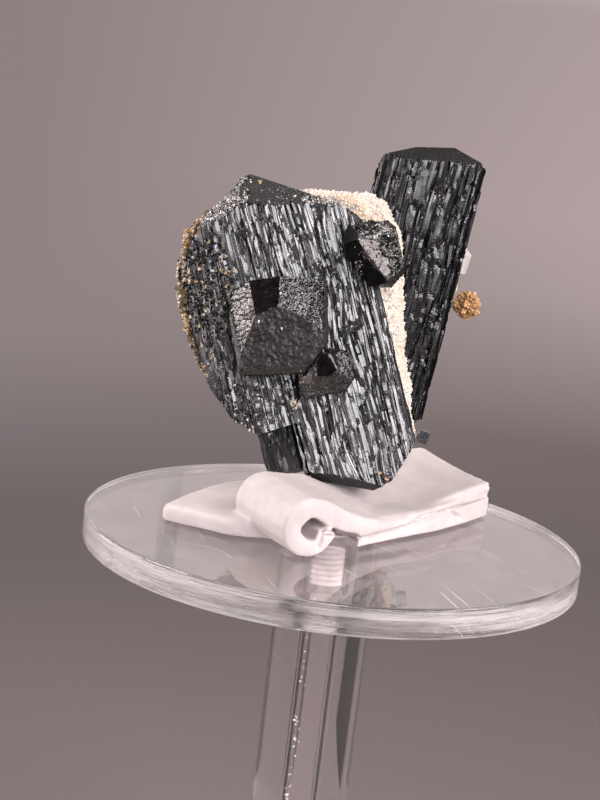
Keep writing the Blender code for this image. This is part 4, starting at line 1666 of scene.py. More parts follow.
@dataclass
class Sphalerites:
    """The three dark sphalerite crystals on the front."""

    large_voxel: float = 0.16
    voxel: float = 0.14
    # The pink spots are painted highlights.
    small_spots: tuple = (
        Spot(((316, 354), (336, 352), (340, 366), (330, 377), (318, 376)), 0.05, Sheen.SMOOTH),
        Spot(((299, 370), (311, 369), (313, 383), (300, 385)), 0.2, Sheen.PINK_PAINTED_HIGHLIGHT),
        Spot(((324, 351), (337, 361), (335, 364), (322, 354)), 0.1, Sheen.PINK_PAINTED_HIGHLIGHT),
    )
    # The first drusy spot, on the crystal's dark left side, takes the near black painted shade; the second,
    # on its outer face, takes the pink painted highlight.
    drusy_spots: tuple = (
        Spot(((340, 222), (357, 228), (360, 242), (366, 258), (385, 279), (384, 290), (350, 290),
              (338, 262)), 0.06, Sheen.SMOOTH),
        Spot(((358, 238), (374, 240), (392, 248), (396, 262), (387, 277), (376, 270), (365, 257)),
             0.05, Sheen.PINK_PAINTED_HIGHLIGHT),
    )
    left_side: tuple = (((-5.2, 0.0, -13.8), (-0.96, 0.0, 0.27)), ((-6.5, 0.0, -20.0), (-1.0, 0.0, 0.0)))
    growth_centre: tuple = (0.0, -4.6, -17.0)
    facet_reach: float = 0.16
    worn_edge: Facet = Facet((), 0.08, 0.9)
    facets: tuple = (
        Facet(((-6.2, -4.6, -28.0), (5.9, -4.6, -29.6), (4.0, -4.9, -18.0)), 0.24, 2.1, 0.02, 0.8),
        Facet(((-1.2, -4.6, -18.6), (3.7, -4.9, -18.6), (-0.3, -2.2, -13.0)), 0.03, 0.8,
              finish=Sheen.SMOOTH),
        Facet(((3.9, -4.9, -18.0), (7.4, -4.8, -22.0), (10.4, -1.6, -15.0)), 0.5, 1.3,
              finish=Sheen.SPARKLING),
        Facet(((7.4, -4.8, -22.0), (10.9, -4.6, -24.4), (12.6, -1.2, -15.8)), 0.16, 0.9,
              finish=Sheen.SPARKLING),
        Facet(((-1.2, -4.6, -18.6), (-5.5, -4.5, -24.9), (-5.0, 0.0, -13.7)), 0.2, 0.9, 0.14,
              1.2, Sheen.RIBBED),
        Facet(((-5.2, 0.0, -13.5), (-0.3, -2.2, -12.9), (12.6, -1.2, -15.7)), 0.2, 0.7,
              finish=Sheen.SPARKLING),
    )

    def large(self, finishes: list) -> Object:
        """Large crystal, each of its faces with its own growth.

        Args:
            finishes: Materials of its main face, its dark face, its sparkling ones and its left one.

        Returns:
            The piece.
        """
        bm = remeshed("sphalerite_large", self.large_voxel)
        bm.transform(FRONT_FRAME.inverted())
        for point, direction in self.left_side:
            cut_away(bm, Vector(point), Vector(direction))
        planes = []
        for facet in self.facets:
            a, across = face_through(*facet.points)
            planes.append((facet, a, across.normalized()))
        kinds = {}

        def height(vert: BMVert) -> float:
            """Note what kind of face a vertex lies on and work out its move.

            Args:
                vert: The vertex.

            Returns:
                The move along its normal.
            """
            reach, facet = min(((abs((vert.co - a).dot(across)), facet) for facet, a, across in planes),
                               key=lambda pair: pair[0])
            facet = facet if reach < self.facet_reach else self.worn_edge
            kinds[vert.index] = facet.finish
            grain = noise.noise(vert.co / facet.width) + noise.noise(vert.co * 3.0 / facet.width) * 0.6
            ribbed = facet.finish is Sheen.RIBBED
            along = vert.co.z if ribbed else (vert.co - Vector(self.growth_centre)).length
            bend = noise.noise(vert.co * 0.45) * 1.3 + noise.noise(vert.co * 1.4) * 0.35
            wave = abs(((along + bend) / facet.pitch) % 1.0 - 0.5) * 4.0 - 1.0
            return grain * facet.grain - facet.grain * 0.8 + (wave - 1.0) * facet.ribs

        pushed(bm, height)
        return self.dressed("sphalerite_large", bm, FRONT_FRAME, kinds, finishes)

    def one(self, node_name: str, finishes: list, depth: float, size: float, softened: int,
            spots: tuple) -> Object:
        """One of the smaller crystals with its faces roughened.

        Args:
            node_name: The CAD node that it replaces.
            finishes: Its materials.
            depth: Depth of the roughness, in mm.
            size: Width of the roughness, in mm.
            softened: Rounds of smoothing that wear its edges.
            spots: Faces with their own finish, some of them a painted highlight or a painted shade.

        Returns:
            The piece.
        """
        bm = remeshed(node_name, self.voxel)
        smoothed(bm, softened)
        camera = PhotoCamera()
        scale = 1.0 / (size * MM)
        kinds = {}

        def height(vert: BMVert) -> float:
            """Note what kind of face a vertex lies on and work out its move.

            Args:
                vert: The vertex.

            Returns:
                The move along its normal.
            """
            spot = None
            if vert.normal.dot(Vector(camera.back)) > 0.0:
                place = camera.pixel(vert.co)
                spot = next((each for each in spots if inside(each.outline, *place)), None)
            kinds[vert.index] = spot.finish if spot else Sheen.MAIN
            coarse, fine = noise.noise(vert.co * scale), noise.noise(vert.co * scale * 3.1)
            return (coarse * 0.7 + fine * 0.4 - 0.6) * (spot.depth if spot else depth) * MM

        pushed(bm, height)
        return self.dressed(node_name, bm, Matrix.Identity(4), kinds, finishes)

    def dressed(self, node_name: str, bm: BMesh, matrix: Matrix, kinds: dict, finishes: list) -> Object:
        """Piece in place of a CAD node, each face with the finish of its kind.

        Args:
            node_name: The CAD node that it replaces.
            bm: The shape, which is freed.
            matrix: From the shape's units to the row frame.
            kinds: Kind of face of each vertex, by its index.
            finishes: Materials of the kinds.

        Returns:
            The piece.
        """
        for face in bm.faces:
            face.material_index = kinds[face.verts[0].index]
        piece = solid(f"{node_name}_rough", bm, matrix, *finishes)
        return settle(piece, Slot.SPHALERITE, node_name)

    def build(self) -> list:
        """Make the crystals.

        Returns:
            The large, the small and the drusy crystal.
        """
        # The pinkish base paints highlights on the smaller crystals. Black, with almost no gloss, paints
        # the shade on the drusy crystal's left side.
        main, smooth, sparkling, ribbed, brown, black, pink_painted_highlight = (
            ResinousSphalerite(f"{name}_sphalerite", *looks, lines=lines, gloss=gloss).material()
            for name, looks, lines, gloss in (
                ("resinous", ("120e0e", "2b2021", 0.3, 0.45, 0.6), 0.08, 0.18),
                ("smooth", ("060505", "171213", 0.14, 0.45, 0.1), 0.0, 0.2),
                ("sparkling", ("060505", "171213", 0.17), 0.0, 0.38),
                ("ribbed", ("0a0707", "2c1b1a", 0.2), 0.0, 0.7),
                ("brown", ("070606", "1c1615", 0.2), 0.0, 0.25),
                ("black", ("040304", "0a0809", 0.3, 0.45, 0.2), 0.0, 0.04),
                ("pinkish_painted_highlight", ("3a3132", "544749", 0.34, 0.45, 0.2), 0.0, 0.3),
            )
        )
        return [
            self.large([main, smooth, sparkling, ribbed]),
            self.one("sphalerite_small", [brown, smooth, pink_painted_highlight], 0.42, 1.3, 5, self.small_spots),
            self.one("sphalerite_drusy", [brown, black, pink_painted_highlight], 0.3, 0.8, 0, self.drusy_spots),
        ]


@dataclass
class Overgrowth:
    """Small grains that sit on the crystals: golden siderite, pale quartz and black ilvaite, some ilvaite
    grains pale grey as painted glints.

    The spots are pixels of the photograph. Each grain is laid on the surface there.
    """

    seed: int = 83
    golden: tuple = (
        (197, 235), (204, 241), (208, 242), (213, 253), (192, 259), (204, 264), (225, 256), (223, 261),
        (226, 273), (230, 271), (221, 270), (200, 269), (199, 289), (206, 287), (227, 286), (203, 281),
        (196, 281), (234, 269), (200, 260), (202, 282), (199, 294), (210, 300), (195, 301), (219, 301),
        (207, 310), (202, 315), (190, 317), (199, 325), (205, 337), (202, 345), (212, 355), (204, 367),
        (207, 375), (229, 377), (262, 386), (260, 182), (380, 474), (387, 478), (316, 464),
    )
    pale: tuple = (
        (234, 404), (236, 409), (222, 411), (235, 415), (245, 415), (247, 420), (257, 415), (259, 424),
        (270, 435), (250, 430), (249, 433), (235, 385), (251, 181), (247, 198), (270, 202), (295, 196),
        (294, 403), (228, 395), (241, 423), (253, 427), (281, 294), (259, 322), (281, 329),
    )
    crust: tuple = (
        Patch(206, 211, 4, 4, 12, (0.5, 1.0), (0.3, 0.6)),
        Patch(200, 218, 4, 5, 12, (0.5, 1.0), (0.3, 0.6)),
        Patch(194, 227, 5, 6, 14, (0.5, 1.0), (0.3, 0.6)),
        Patch(187, 235, 5, 6, 14, (0.5, 1.0), (0.3, 0.6)),
        Patch(185, 243, 4, 5, 12, (0.5, 1.0), (0.3, 0.6)),
        Patch(187, 278, 5, 10, 30, (0.4, 0.8), (0.75, 0.9)),
        Patch(186, 322, 4, 9, 22, (0.5, 0.9), (0.5, 0.75)),
        Patch(184, 262, 2, 8, 14, (0.4, 0.7), (0.8, 1.0)),
        Patch(294, 403, 4, 7, 26, (0.25, 0.5), (0.75, 0.95)),
        Patch(303, 377, 6, 7, 12, (0.2, 0.35), (0.8, 1.0)),
    )
    black: tuple = (
        Patch(208, 288, 25, 50, 420, (0.25, 0.6), (0.0, 0.05)),
        Patch(238, 405, 26, 22, 160, (0.25, 0.5), (0.0, 0.12)),
        Patch(366, 228, 12, 8, 100, (0.3, 0.6), (0.0, 0.1)),
        Patch(389, 246, 9, 12, 100, (0.3, 0.6), (0.0, 0.1)),
        Patch(394, 264, 6, 12, 70, (0.3, 0.6), (0.0, 0.1)),
        Patch(372, 256, 12, 14, 30, (0.25, 0.45), (0.0, 0.05)),
    )
    # Patches of ilvaite grains whose pale tones paint glints.
    painted_glint_patches: tuple = (
        Patch(318, 199, 18, 4, 150, (0.15, 0.32), (0.6, 1.0)),
        Patch(336, 203, 14, 4, 110, (0.15, 0.32), (0.6, 1.0)),
        Patch(352, 208, 8, 4, 60, (0.15, 0.32), (0.6, 1.0)),
        Patch(278, 195, 30, 9, 60, (0.12, 0.22), (0.5, 1.0)),
        Patch(372, 240, 18, 22, 60, (0.15, 0.3), (0.6, 1.0)),
        Patch(359, 268, 5, 10, 30, (0.15, 0.3), (0.7, 1.0)),
        Patch(303, 303, 8, 14, 50, (0.15, 0.3), (0.6, 1.0)),
        Patch(376, 231, 16, 8, 110, (0.18, 0.34), (0.7, 1.0)),
        Patch(392, 262, 5, 16, 50, (0.18, 0.32), (0.7, 1.0)),
        Patch(392, 455, 14, 20, 20, (0.12, 0.2), (0.5, 0.9)),
    )
    rough_count: int = 1700
    rim_count: int = 1100
    rim_from: float = -23.2
    rim_full: float = -24.7

    def coloured(self, rays: PhotoRays, crust: Object) -> None:
        """Golden, pale and black grains.

        Args:
            rays: Finds the surfaces.
            crust: The quartz crust, whose left rim they cover.
        """
        grains = Grains("overgrowth_coloured", self.seed)
        stone, block = pebble(), blocky()
        rays.sprinkle(grains, block, tuple(
            Patch(x, y, 1.8, 1.8, 4, (0.2, 0.45), (0.35, 0.95)) for x, y in self.golden
        ))
        rays.sprinkle(grains, stone, tuple(
            Patch(x, y, 1.3, 1.3, 3, (0.2, 0.45), (0.85, 1.0)) for x, y in self.pale
        ))
        rays.sprinkle(grains, stone, self.crust)
        rays.sprinkle(grains, block, self.black)
        surface, rng = Surface(crust), grains.rng
        x = surface.centres[:, 0] / MM
        rim = np.clip((self.rim_from - x) / (self.rim_from - self.rim_full), 0.0, 1.0)
        for place, normal in surface.scatter(self.rim_count, rim, rng):
            size = rng.uniform(0.35, 0.75)
            tone = rng.choice((0.0, 0.03, 0.06, 0.55, 0.75, 0.85, 0.92, 0.95))
            grains.add(block, place, normal, Vector((size, size, size * 0.7)), 0.8, tone)
        finish = TonedGrains("siderite_and_quartz_grains", (
            (0.0, "0c0c0e"), (0.12, "1d1814"), (0.3, "84582c"), (0.5, "cfa56a"), (0.75, "e6cfae"),
            (1.0, "f2ebe2"),
        ))
        settle(grains.piece(finish.material()), Slot.SIDERITE)

    def painted_glint_grains(self, rays: PhotoRays, front: Object) -> None:
        """Ilvaite grains in grey to near white tones that paint glints: specks, and the rough growth on the
        upper left faces.

        Args:
            rays: Finds the surfaces.
            front: The front crystals.
        """
        grains = Grains("overgrowth_painted_glints", self.seed + 1)
        block, rng = blocky(), grains.rng
        rays.sprinkle(grains, block, self.painted_glint_patches)
        surface = Surface(front)
        rough = (surface.finish == Growth.ROUGH) * 1.0
        for place, normal in surface.scatter(self.rough_count, rough, rng):
            size = rng.uniform(0.22, 0.5)
            grains.add(block, place, normal, Vector((size, size, size)), 0.9, rng.random() ** 1.6)
        # From the black of ilvaite to near white: the pale tones are painted glints.
        finish = TonedGrains("ilvaite_grains_painted_glints", (
            (0.0, "121113"), (0.4, "3c393a"), (0.75, "8f8987"), (1.0, "d8d2ce"),
        ), 0.22, 1.9)
        settle(grains.piece(finish.material()), Slot.ILVAITE)

    def build(self, front: Object, crust: Object, *others: Object) -> None:
        """Make the grains.

        Args:
            front: The front crystals.
            crust: The quartz crust.
            others: Further pieces that carry grains.
        """
        rays = PhotoRays(front, crust, *others)
        self.coloured(rays, crust)
        self.painted_glint_grains(rays, front)


@dataclass
class SideriteBall:
    """Botryoidal ball of siderite on the back crystal's right edge."""

    centre: tuple = (21.4, 24.0, 40.5)
    radius: float = 3.15

    def build(self) -> None:
        """Make the ball, darker in the pits between its knobs."""
        bm = bmesh.new()
        bmesh.ops.create_icosphere(bm, subdivisions=6, radius=1.0)
        tones = []
        for vert in bm.verts:
            direction = vert.co.copy()
            lumps = noise.voronoi(direction * 1.9)[0][0]
            small = noise.voronoi(direction * 5.0)[0][0]
            vert.co = direction * (self.radius * (1.08 - 0.34 * lumps - 0.16 * small))
            tones.append(1.0 - min(1.0, lumps * 0.6 + small * 0.8))
        bmesh.ops.translate(bm, vec=self.centre, verts=bm.verts)
        ball = solid("siderite_ball_crust", bm, OVER_PLATE, Siderite().material())
        set_tones(ball.data, tones)
        settle(ball, Slot.SIDERITE, "siderite_ball")


@dataclass(frozen=True)
class Crease:
    """Crease pressed into the putty along pixels of the photograph, its depth and width in mm."""

    line: tuple
    depth: float
    width: float = 0.38


@dataclass
class PuttyStrip:
    """Folded strip of putty that holds the specimen on the plate."""

    voxel: float = 0.3
    dent: float = 0.12
    creases: tuple = (
        Crease(((323, 533), (345, 537), (365, 539), (385, 535), (405, 529), (430, 519), (455, 508),
                (475, 500), (490, 494)), 0.95),
        Crease(((418, 521), (441, 509), (463, 500), (488, 495)), 0.8),
        Crease(((449, 510), (459, 517)), 0.8),
        Crease(((409, 530), (418, 521)), 0.7),
        Crease(((477, 499), (491, 496)), 0.6),
        Crease(((323, 530), (319, 548)), 0.5),
        Crease(((232, 537), (238, 537)), 0.6),
    )

    def crease_depth(self, x: float, y: float) -> float:
        """How deep the creases are at a pixel.

        Args:
            x: Pixels from the left.
            y: Pixels from the top.

        Returns:
            Depth in mm.
        """
        found = 0.0
        for crease in self.creases:
            wide = crease.width * PIXELS_PER_MM
            for (ax, ay), (bx, by) in zip(crease.line, crease.line[1:]):
                run = (bx - ax) ** 2 + (by - ay) ** 2
                part = min(1.0, max(0.0, ((x - ax) * (bx - ax) + (y - ay) * (by - ay)) / run))
                away = math.hypot(x - ax - part * (bx - ax), y - ay - part * (by - ay))
                found = max(found, crease.depth * math.exp(-(away / wide) ** 2))
        return found

    def build(self) -> None:
        """Make the strip."""
        bm = remeshed("putty_strip", self.voxel)
        smoothed(bm, 5)
        camera = PhotoCamera()

        def height(vert: BMVert) -> float:
            """Wide dents everywhere, and the creases where the camera sees them.

            Args:
                vert: The vertex.

            Returns:
                The move along its normal.
            """
            facing = vert.normal.dot(Vector(camera.back)) > 0.0
            pressed = self.crease_depth(*camera.pixel(vert.co)) if facing else 0.0
            return ((noise.noise(vert.co * 170.0) - 0.6) * self.dent - pressed) * MM

        pushed(bm, height)
        finish = MountingPutty().material()
        piece = solid("putty_strip_pressed", bm, Matrix.Identity(4), finish, smooth=60.0)
        settle(piece, Slot.PUTTY, "putty_strip")


@dataclass
class QuartzSlivers:
    """Milky quartz crystals behind the tall prism: the place, direction, width and length of each."""

    tips: tuple = (
        ((18.2, 27.6, 51.5), (-0.14, -0.02, -1.0), 5.2, 16.5),
        ((17.2, 26.2, 50.0), (0.10, -0.12, -1.0), 3.0, 9.0),
        ((19.6, 26.4, 46.5), (0.16, -0.1, 0.9), 2.2, 4.6),
    )
    seed: int = 13

    def build(self) -> None:
        """Make the crystals."""
        grains = Grains("quartz_sliver_group", self.seed)
        for place, direction, width, length in self.tips:
            grains.add(quartz_tip(0.8), OVER_PLATE @ Vector(place), Vector(direction).normalized(),
                       Vector((width, width, length)), 0.0, 0.5)
        settle(grains.piece(MilkyQuartz().material()), Slot.MILKY_QUARTZ, "quartz_point")


@dataclass
class ClearStand:
    """Plate, rod, foot and screw of clear acrylic."""

    foot_radius: float = 40.0
    foot_thickness: float = 5.0
    rod_radius: float = 9.0
    rod_length: float = 70.0
    plate_radius: float = 45.0
    plate_thickness: float = 5.0
    edge: float = 0.4
    gap: float = 0.3
    screw_radius: float = 3.0
    screw_root: float = 2.45
    pitch: float = 1.0
    screw_length: float = 14.0
    screw_steps: int = 48
    head_radius: float = 5.5
    head_depth: float = 2.6
    head_sunk: float = 0.1
    neck: float = 0.4
    slot_size: tuple = (16.0, 1.2, 2.3)
    smooth: float = 35.0
    hole_radius: float = 3.3
    tapped_depth: float = 10.0
    drill_point: float = 1.2
    bore_radius: float = 2.4
    bead_seed: int = 37
    bead_count: int = 46
    bead_angle: float = -129.0

    def turned(self, profile: list, segments: int, closed: bool = True) -> BMesh:
        """Round solid from a profile of radius and height.

        Args:
            profile: Points of radius and height.
            segments: Segments round the axis.
            closed: True where the profile is a loop that stays off the axis.

        Returns:
            The solid in mm.
        """
        bm = bmesh.new()
        points = [bm.verts.new((radius, 0.0, height)) for radius, height in profile]
        edges = [bm.edges.new(pair) for pair in zip(points, points[1:])]
        if closed:
            edges.append(bm.edges.new((points[-1], points[0])))
        bmesh.ops.spin(
            bm, geom=points + edges, axis=UP, cent=(0.0, 0.0, 0.0), angle=math.tau, steps=segments,
            use_merge=True,
        )
        bmesh.ops.remove_doubles(bm, verts=bm.verts, dist=1e-4)
        return bm

    def rounded(self, radius: float, low: float, high: float) -> list:
        """Outer edge of a turned piece, its two corners rounded.

        A point just inside each flat keeps the shading of the flats and the side true.

        Args:
            radius: Outer radius.
            low: Height of the lower flat.
            high: Height of the upper flat.

        Returns:
            Points from the lower flat round to the upper one.
        """
        corner = [
            (radius - self.edge * (1.0 - math.sin(angle)), self.edge * (1.0 - math.cos(angle)))
            for angle in (math.radians(90.0 * step / 4) for step in range(5))
        ]
        hold = self.edge * 0.3
        lower = [(radius - self.edge - hold, low)] + [(r, low + rise) for r, rise in corner]
        upper = [(r, high - rise) for r, rise in reversed(corner)] + [(radius - self.edge - hold, high)]
        return lower + [(radius, low + self.edge + hold), (radius, high - self.edge - hold)] + upper

    def polished(self, name: str, bm: BMesh, *finishes: Material) -> None:
        """Clear piece in place of a CAD node, which lets the light through.

        Args:
            name: What the piece is.
            bm: The shape in mm, which is freed.
            finishes: Its material and, where it has one, that of its outer edge.
        """
        piece = solid(f"{name}_polished", bm, IN_MM, *finishes, smooth=self.smooth)
        for face in piece.data.polygons if len(finishes) > 1 else ():
            if face.center.xy.length > (self.plate_radius - self.edge * 0.6) * MM:
                face.material_index = 1
        piece.visible_shadow = False
        settle(piece, Slot.CLEAR_ACRYLIC, f"clear_{name}")

    def plate(self) -> BMesh:
        """Round plate with a countersunk hole."""
        low, top = PLATE_TOP - self.plate_thickness, PLATE_TOP
        return self.turned(
            [(self.hole_radius, low)] + self.rounded(self.plate_radius, low, top)
            + [(self.head_radius + self.gap, top), (self.hole_radius, top - self.head_depth - self.gap)],
            256,
        )

    def rod(self) -> BMesh:
        """Rod bored along its axis and tapped at its top.

        Returns:
            The solid in mm.
        """
        low = self.foot_thickness + self.gap
        high = self.foot_thickness + self.rod_length - self.gap
        return self.turned(
            [(self.bore_radius, low)] + self.rounded(self.rod_radius, low, high)
            + [(self.hole_radius, high), (self.hole_radius, high - self.tapped_depth),
               (self.bore_radius, high - self.tapped_depth - self.drill_point)],
            160,
        )

    def foot(self) -> BMesh:
        """Round foot."""
        rim = self.rounded(self.foot_radius, 0.0, self.foot_thickness)
        return self.turned([(0.0, 0.0)] + rim + [(0.0, self.foot_thickness)], 224, closed=False)

    def thread(self, low: float, high: float) -> BMesh:
        """Helical thread, open at both ends.

        Args:
            low: Height of its lower end.
            high: Height of its upper end.

        Returns:
            The thread in mm.
        """
        root, crest = self.screw_root, self.screw_radius
        turns = math.ceil((high - low) / self.pitch) + 2
        bm = bmesh.new()
        profile = [
            bm.verts.new((radius, 0.0, low + (height - 1.0) * self.pitch))
            for radius, height in ((root, 0.0), (root, 0.12), (crest, 0.5), (crest, 0.62), (root, 1.0))
        ]
        edges = [bm.edges.new(pair) for pair in zip(profile, profile[1:])]
        bmesh.ops.spin(
            bm, geom=profile + edges, axis=UP, cent=(0.0, 0.0, 0.0),
            dvec=(0.0, 0.0, self.pitch / self.screw_steps), angle=math.tau * turns,
            steps=self.screw_steps * turns,
        )
        bmesh.ops.remove_doubles(bm, verts=bm.verts, dist=1e-3)
        halve(bm, UP * low, -UP)
        halve(bm, UP * high, UP)
        return bm

    def add_head(self, bm: BMesh, low: float, high: float) -> None:
        """Join the shank and the countersunk head to the thread and close the screw.

        Args:
            bm: The thread.
            low: Height of the thread's upper end.
            high: Height of the head's top.
        """
        shank = bmesh.ops.create_circle(bm, radius=self.screw_radius, segments=self.screw_steps)["verts"]
        bmesh.ops.translate(bm, vec=(0.0, 0.0, low + 0.05), verts=shank)
        shank_edges = [edge for edge in bm.edges if all(vert in shank for vert in edge.verts)]
        rim = [edge for edge in bm.edges if edge.is_boundary
               and all(abs(vert.co.z - low) < 1e-3 for vert in edge.verts)]
        bmesh.ops.bridge_loops(bm, edges=rim + shank_edges)
        for radius, height in ((self.screw_radius, high - self.head_depth), (self.head_radius, high)):
            raised = bmesh.ops.extrude_edge_only(bm, edges=shank_edges)
            ring = corners_of(raised)
            for vert in ring:
                flat = Vector((vert.co.x, vert.co.y, 0.0)).normalized() * radius
                vert.co = (flat.x, flat.y, height)
            shank_edges = [part for part in raised["geom"] if isinstance(part, BMEdge)
                           and all(vert in ring for vert in part.verts)]
        close_rims(bm)

    def screw(self, finish: Material) -> None:
        """Countersunk screw with a slot for the screwdriver.

        Args:
            finish: Its material.
        """
        head_top = PLATE_TOP - self.head_sunk
        thread_top = head_top - self.head_depth - self.neck
        bm = self.thread(head_top - self.screw_length, thread_top)
        self.add_head(bm, thread_top, head_top)
        piece = solid("screw_threaded", bm, IN_MM, finish, smooth=self.smooth)
        slot = bmesh.new()
        bmesh.ops.create_cube(slot, size=1.0)
        bmesh.ops.scale(slot, vec=self.slot_size, verts=slot.verts)
        bmesh.ops.translate(slot, vec=(0.0, 0.0, head_top - 0.15), verts=slot.verts)
        cutter = solid("slot_cutter", slot, IN_MM, finish)
        step = piece.modifiers.new("slot", "BOOLEAN")
        step.operation, step.solver, step.object = "DIFFERENCE", "EXACT", cutter
        cut = bmesh.new()
        cut.from_object(piece, bpy.context.evaluated_depsgraph_get())
        piece.modifiers.clear()
        cut.to_mesh(piece.data)
        cut.free()
        bpy.data.objects.remove(cutter)
        settle(piece, Slot.CLEAR_ACRYLIC, "clear_screw")

    def glue_beads(self) -> None:
        """Tiny beads of dried glue along the front left of the rod's bore."""
        beads = Grains("glue_beads", self.bead_seed)
        bm = bmesh.new()
        bmesh.ops.create_icosphere(bm, subdivisions=1, radius=0.5)
        bead = shape_arrays(bm)
        for _ in range(self.bead_count):
            angle = math.radians(beads.rng.gauss(self.bead_angle, 6.0))
            reach = self.bore_radius + beads.rng.uniform(0.1, 0.25)
            height = beads.rng.uniform(self.foot_thickness + 2.0, PLATE_TOP - 16.0)
            size = beads.rng.choice((0.16, 0.2, 0.24, 0.34))
            place = Vector((math.cos(angle) * reach, math.sin(angle) * reach, height)) * MM
            beads.add(bead, place, UP, Vector((size, size, size)), 0.0, 1.0)
        glue = TonedGrains("dried_glue", ((0.0, "f4efed"), (1.0, "ffffff")), 0.2, 1.5)
        settle(beads.piece(glue.material()), Slot.CLEAR_ACRYLIC)

    def build(self) -> None:
        """Make the stand."""
        plain = CastAcrylic("cast_acrylic").material()
        worn = CastAcrylic("scratched_acrylic", Wear.SCRATCHES).material()
        edge = CastAcrylic("flamed_edge_acrylic", Wear.STREAKS, roughness=0.07).material()
        thread = CastAcrylic("cut_thread_acrylic", clear=0.3, roughness=0.25).material()
        self.polished("plate", self.plate(), worn, edge)
        self.polished("rod", self.rod(), plain)
        self.polished("foot", self.foot(), plain)
        self.screw(thread)
        self.glue_beads()


# Stage


@dataclass(frozen=True)
class SoftBox:
    """One soft studio light, aimed at a point over the plate."""

    name: str
    place: tuple
    size: tuple
    power: float
    colour: str = "fff6f2"
    aim: tuple = (0.0, 5.0, 35.0)

    def build(self) -> None:
        """Make the light."""
        lamp = bpy.data.lights.new(self.name, "AREA")
        lamp.shape = "RECTANGLE"
        lamp.size, lamp.size_y = self.size[0] * MM, self.size[1] * MM
        lamp.energy = self.power
        lamp.color = linear(self.colour)[:3]
        made = linked(self.name, lamp)
        place, aim = OVER_PLATE @ Vector(self.place), OVER_PLATE @ Vector(self.aim)
        made.location = place
        made.rotation_mode = "QUATERNION"
        made.rotation_quaternion = (place - aim).to_track_quat("Z", "Y")


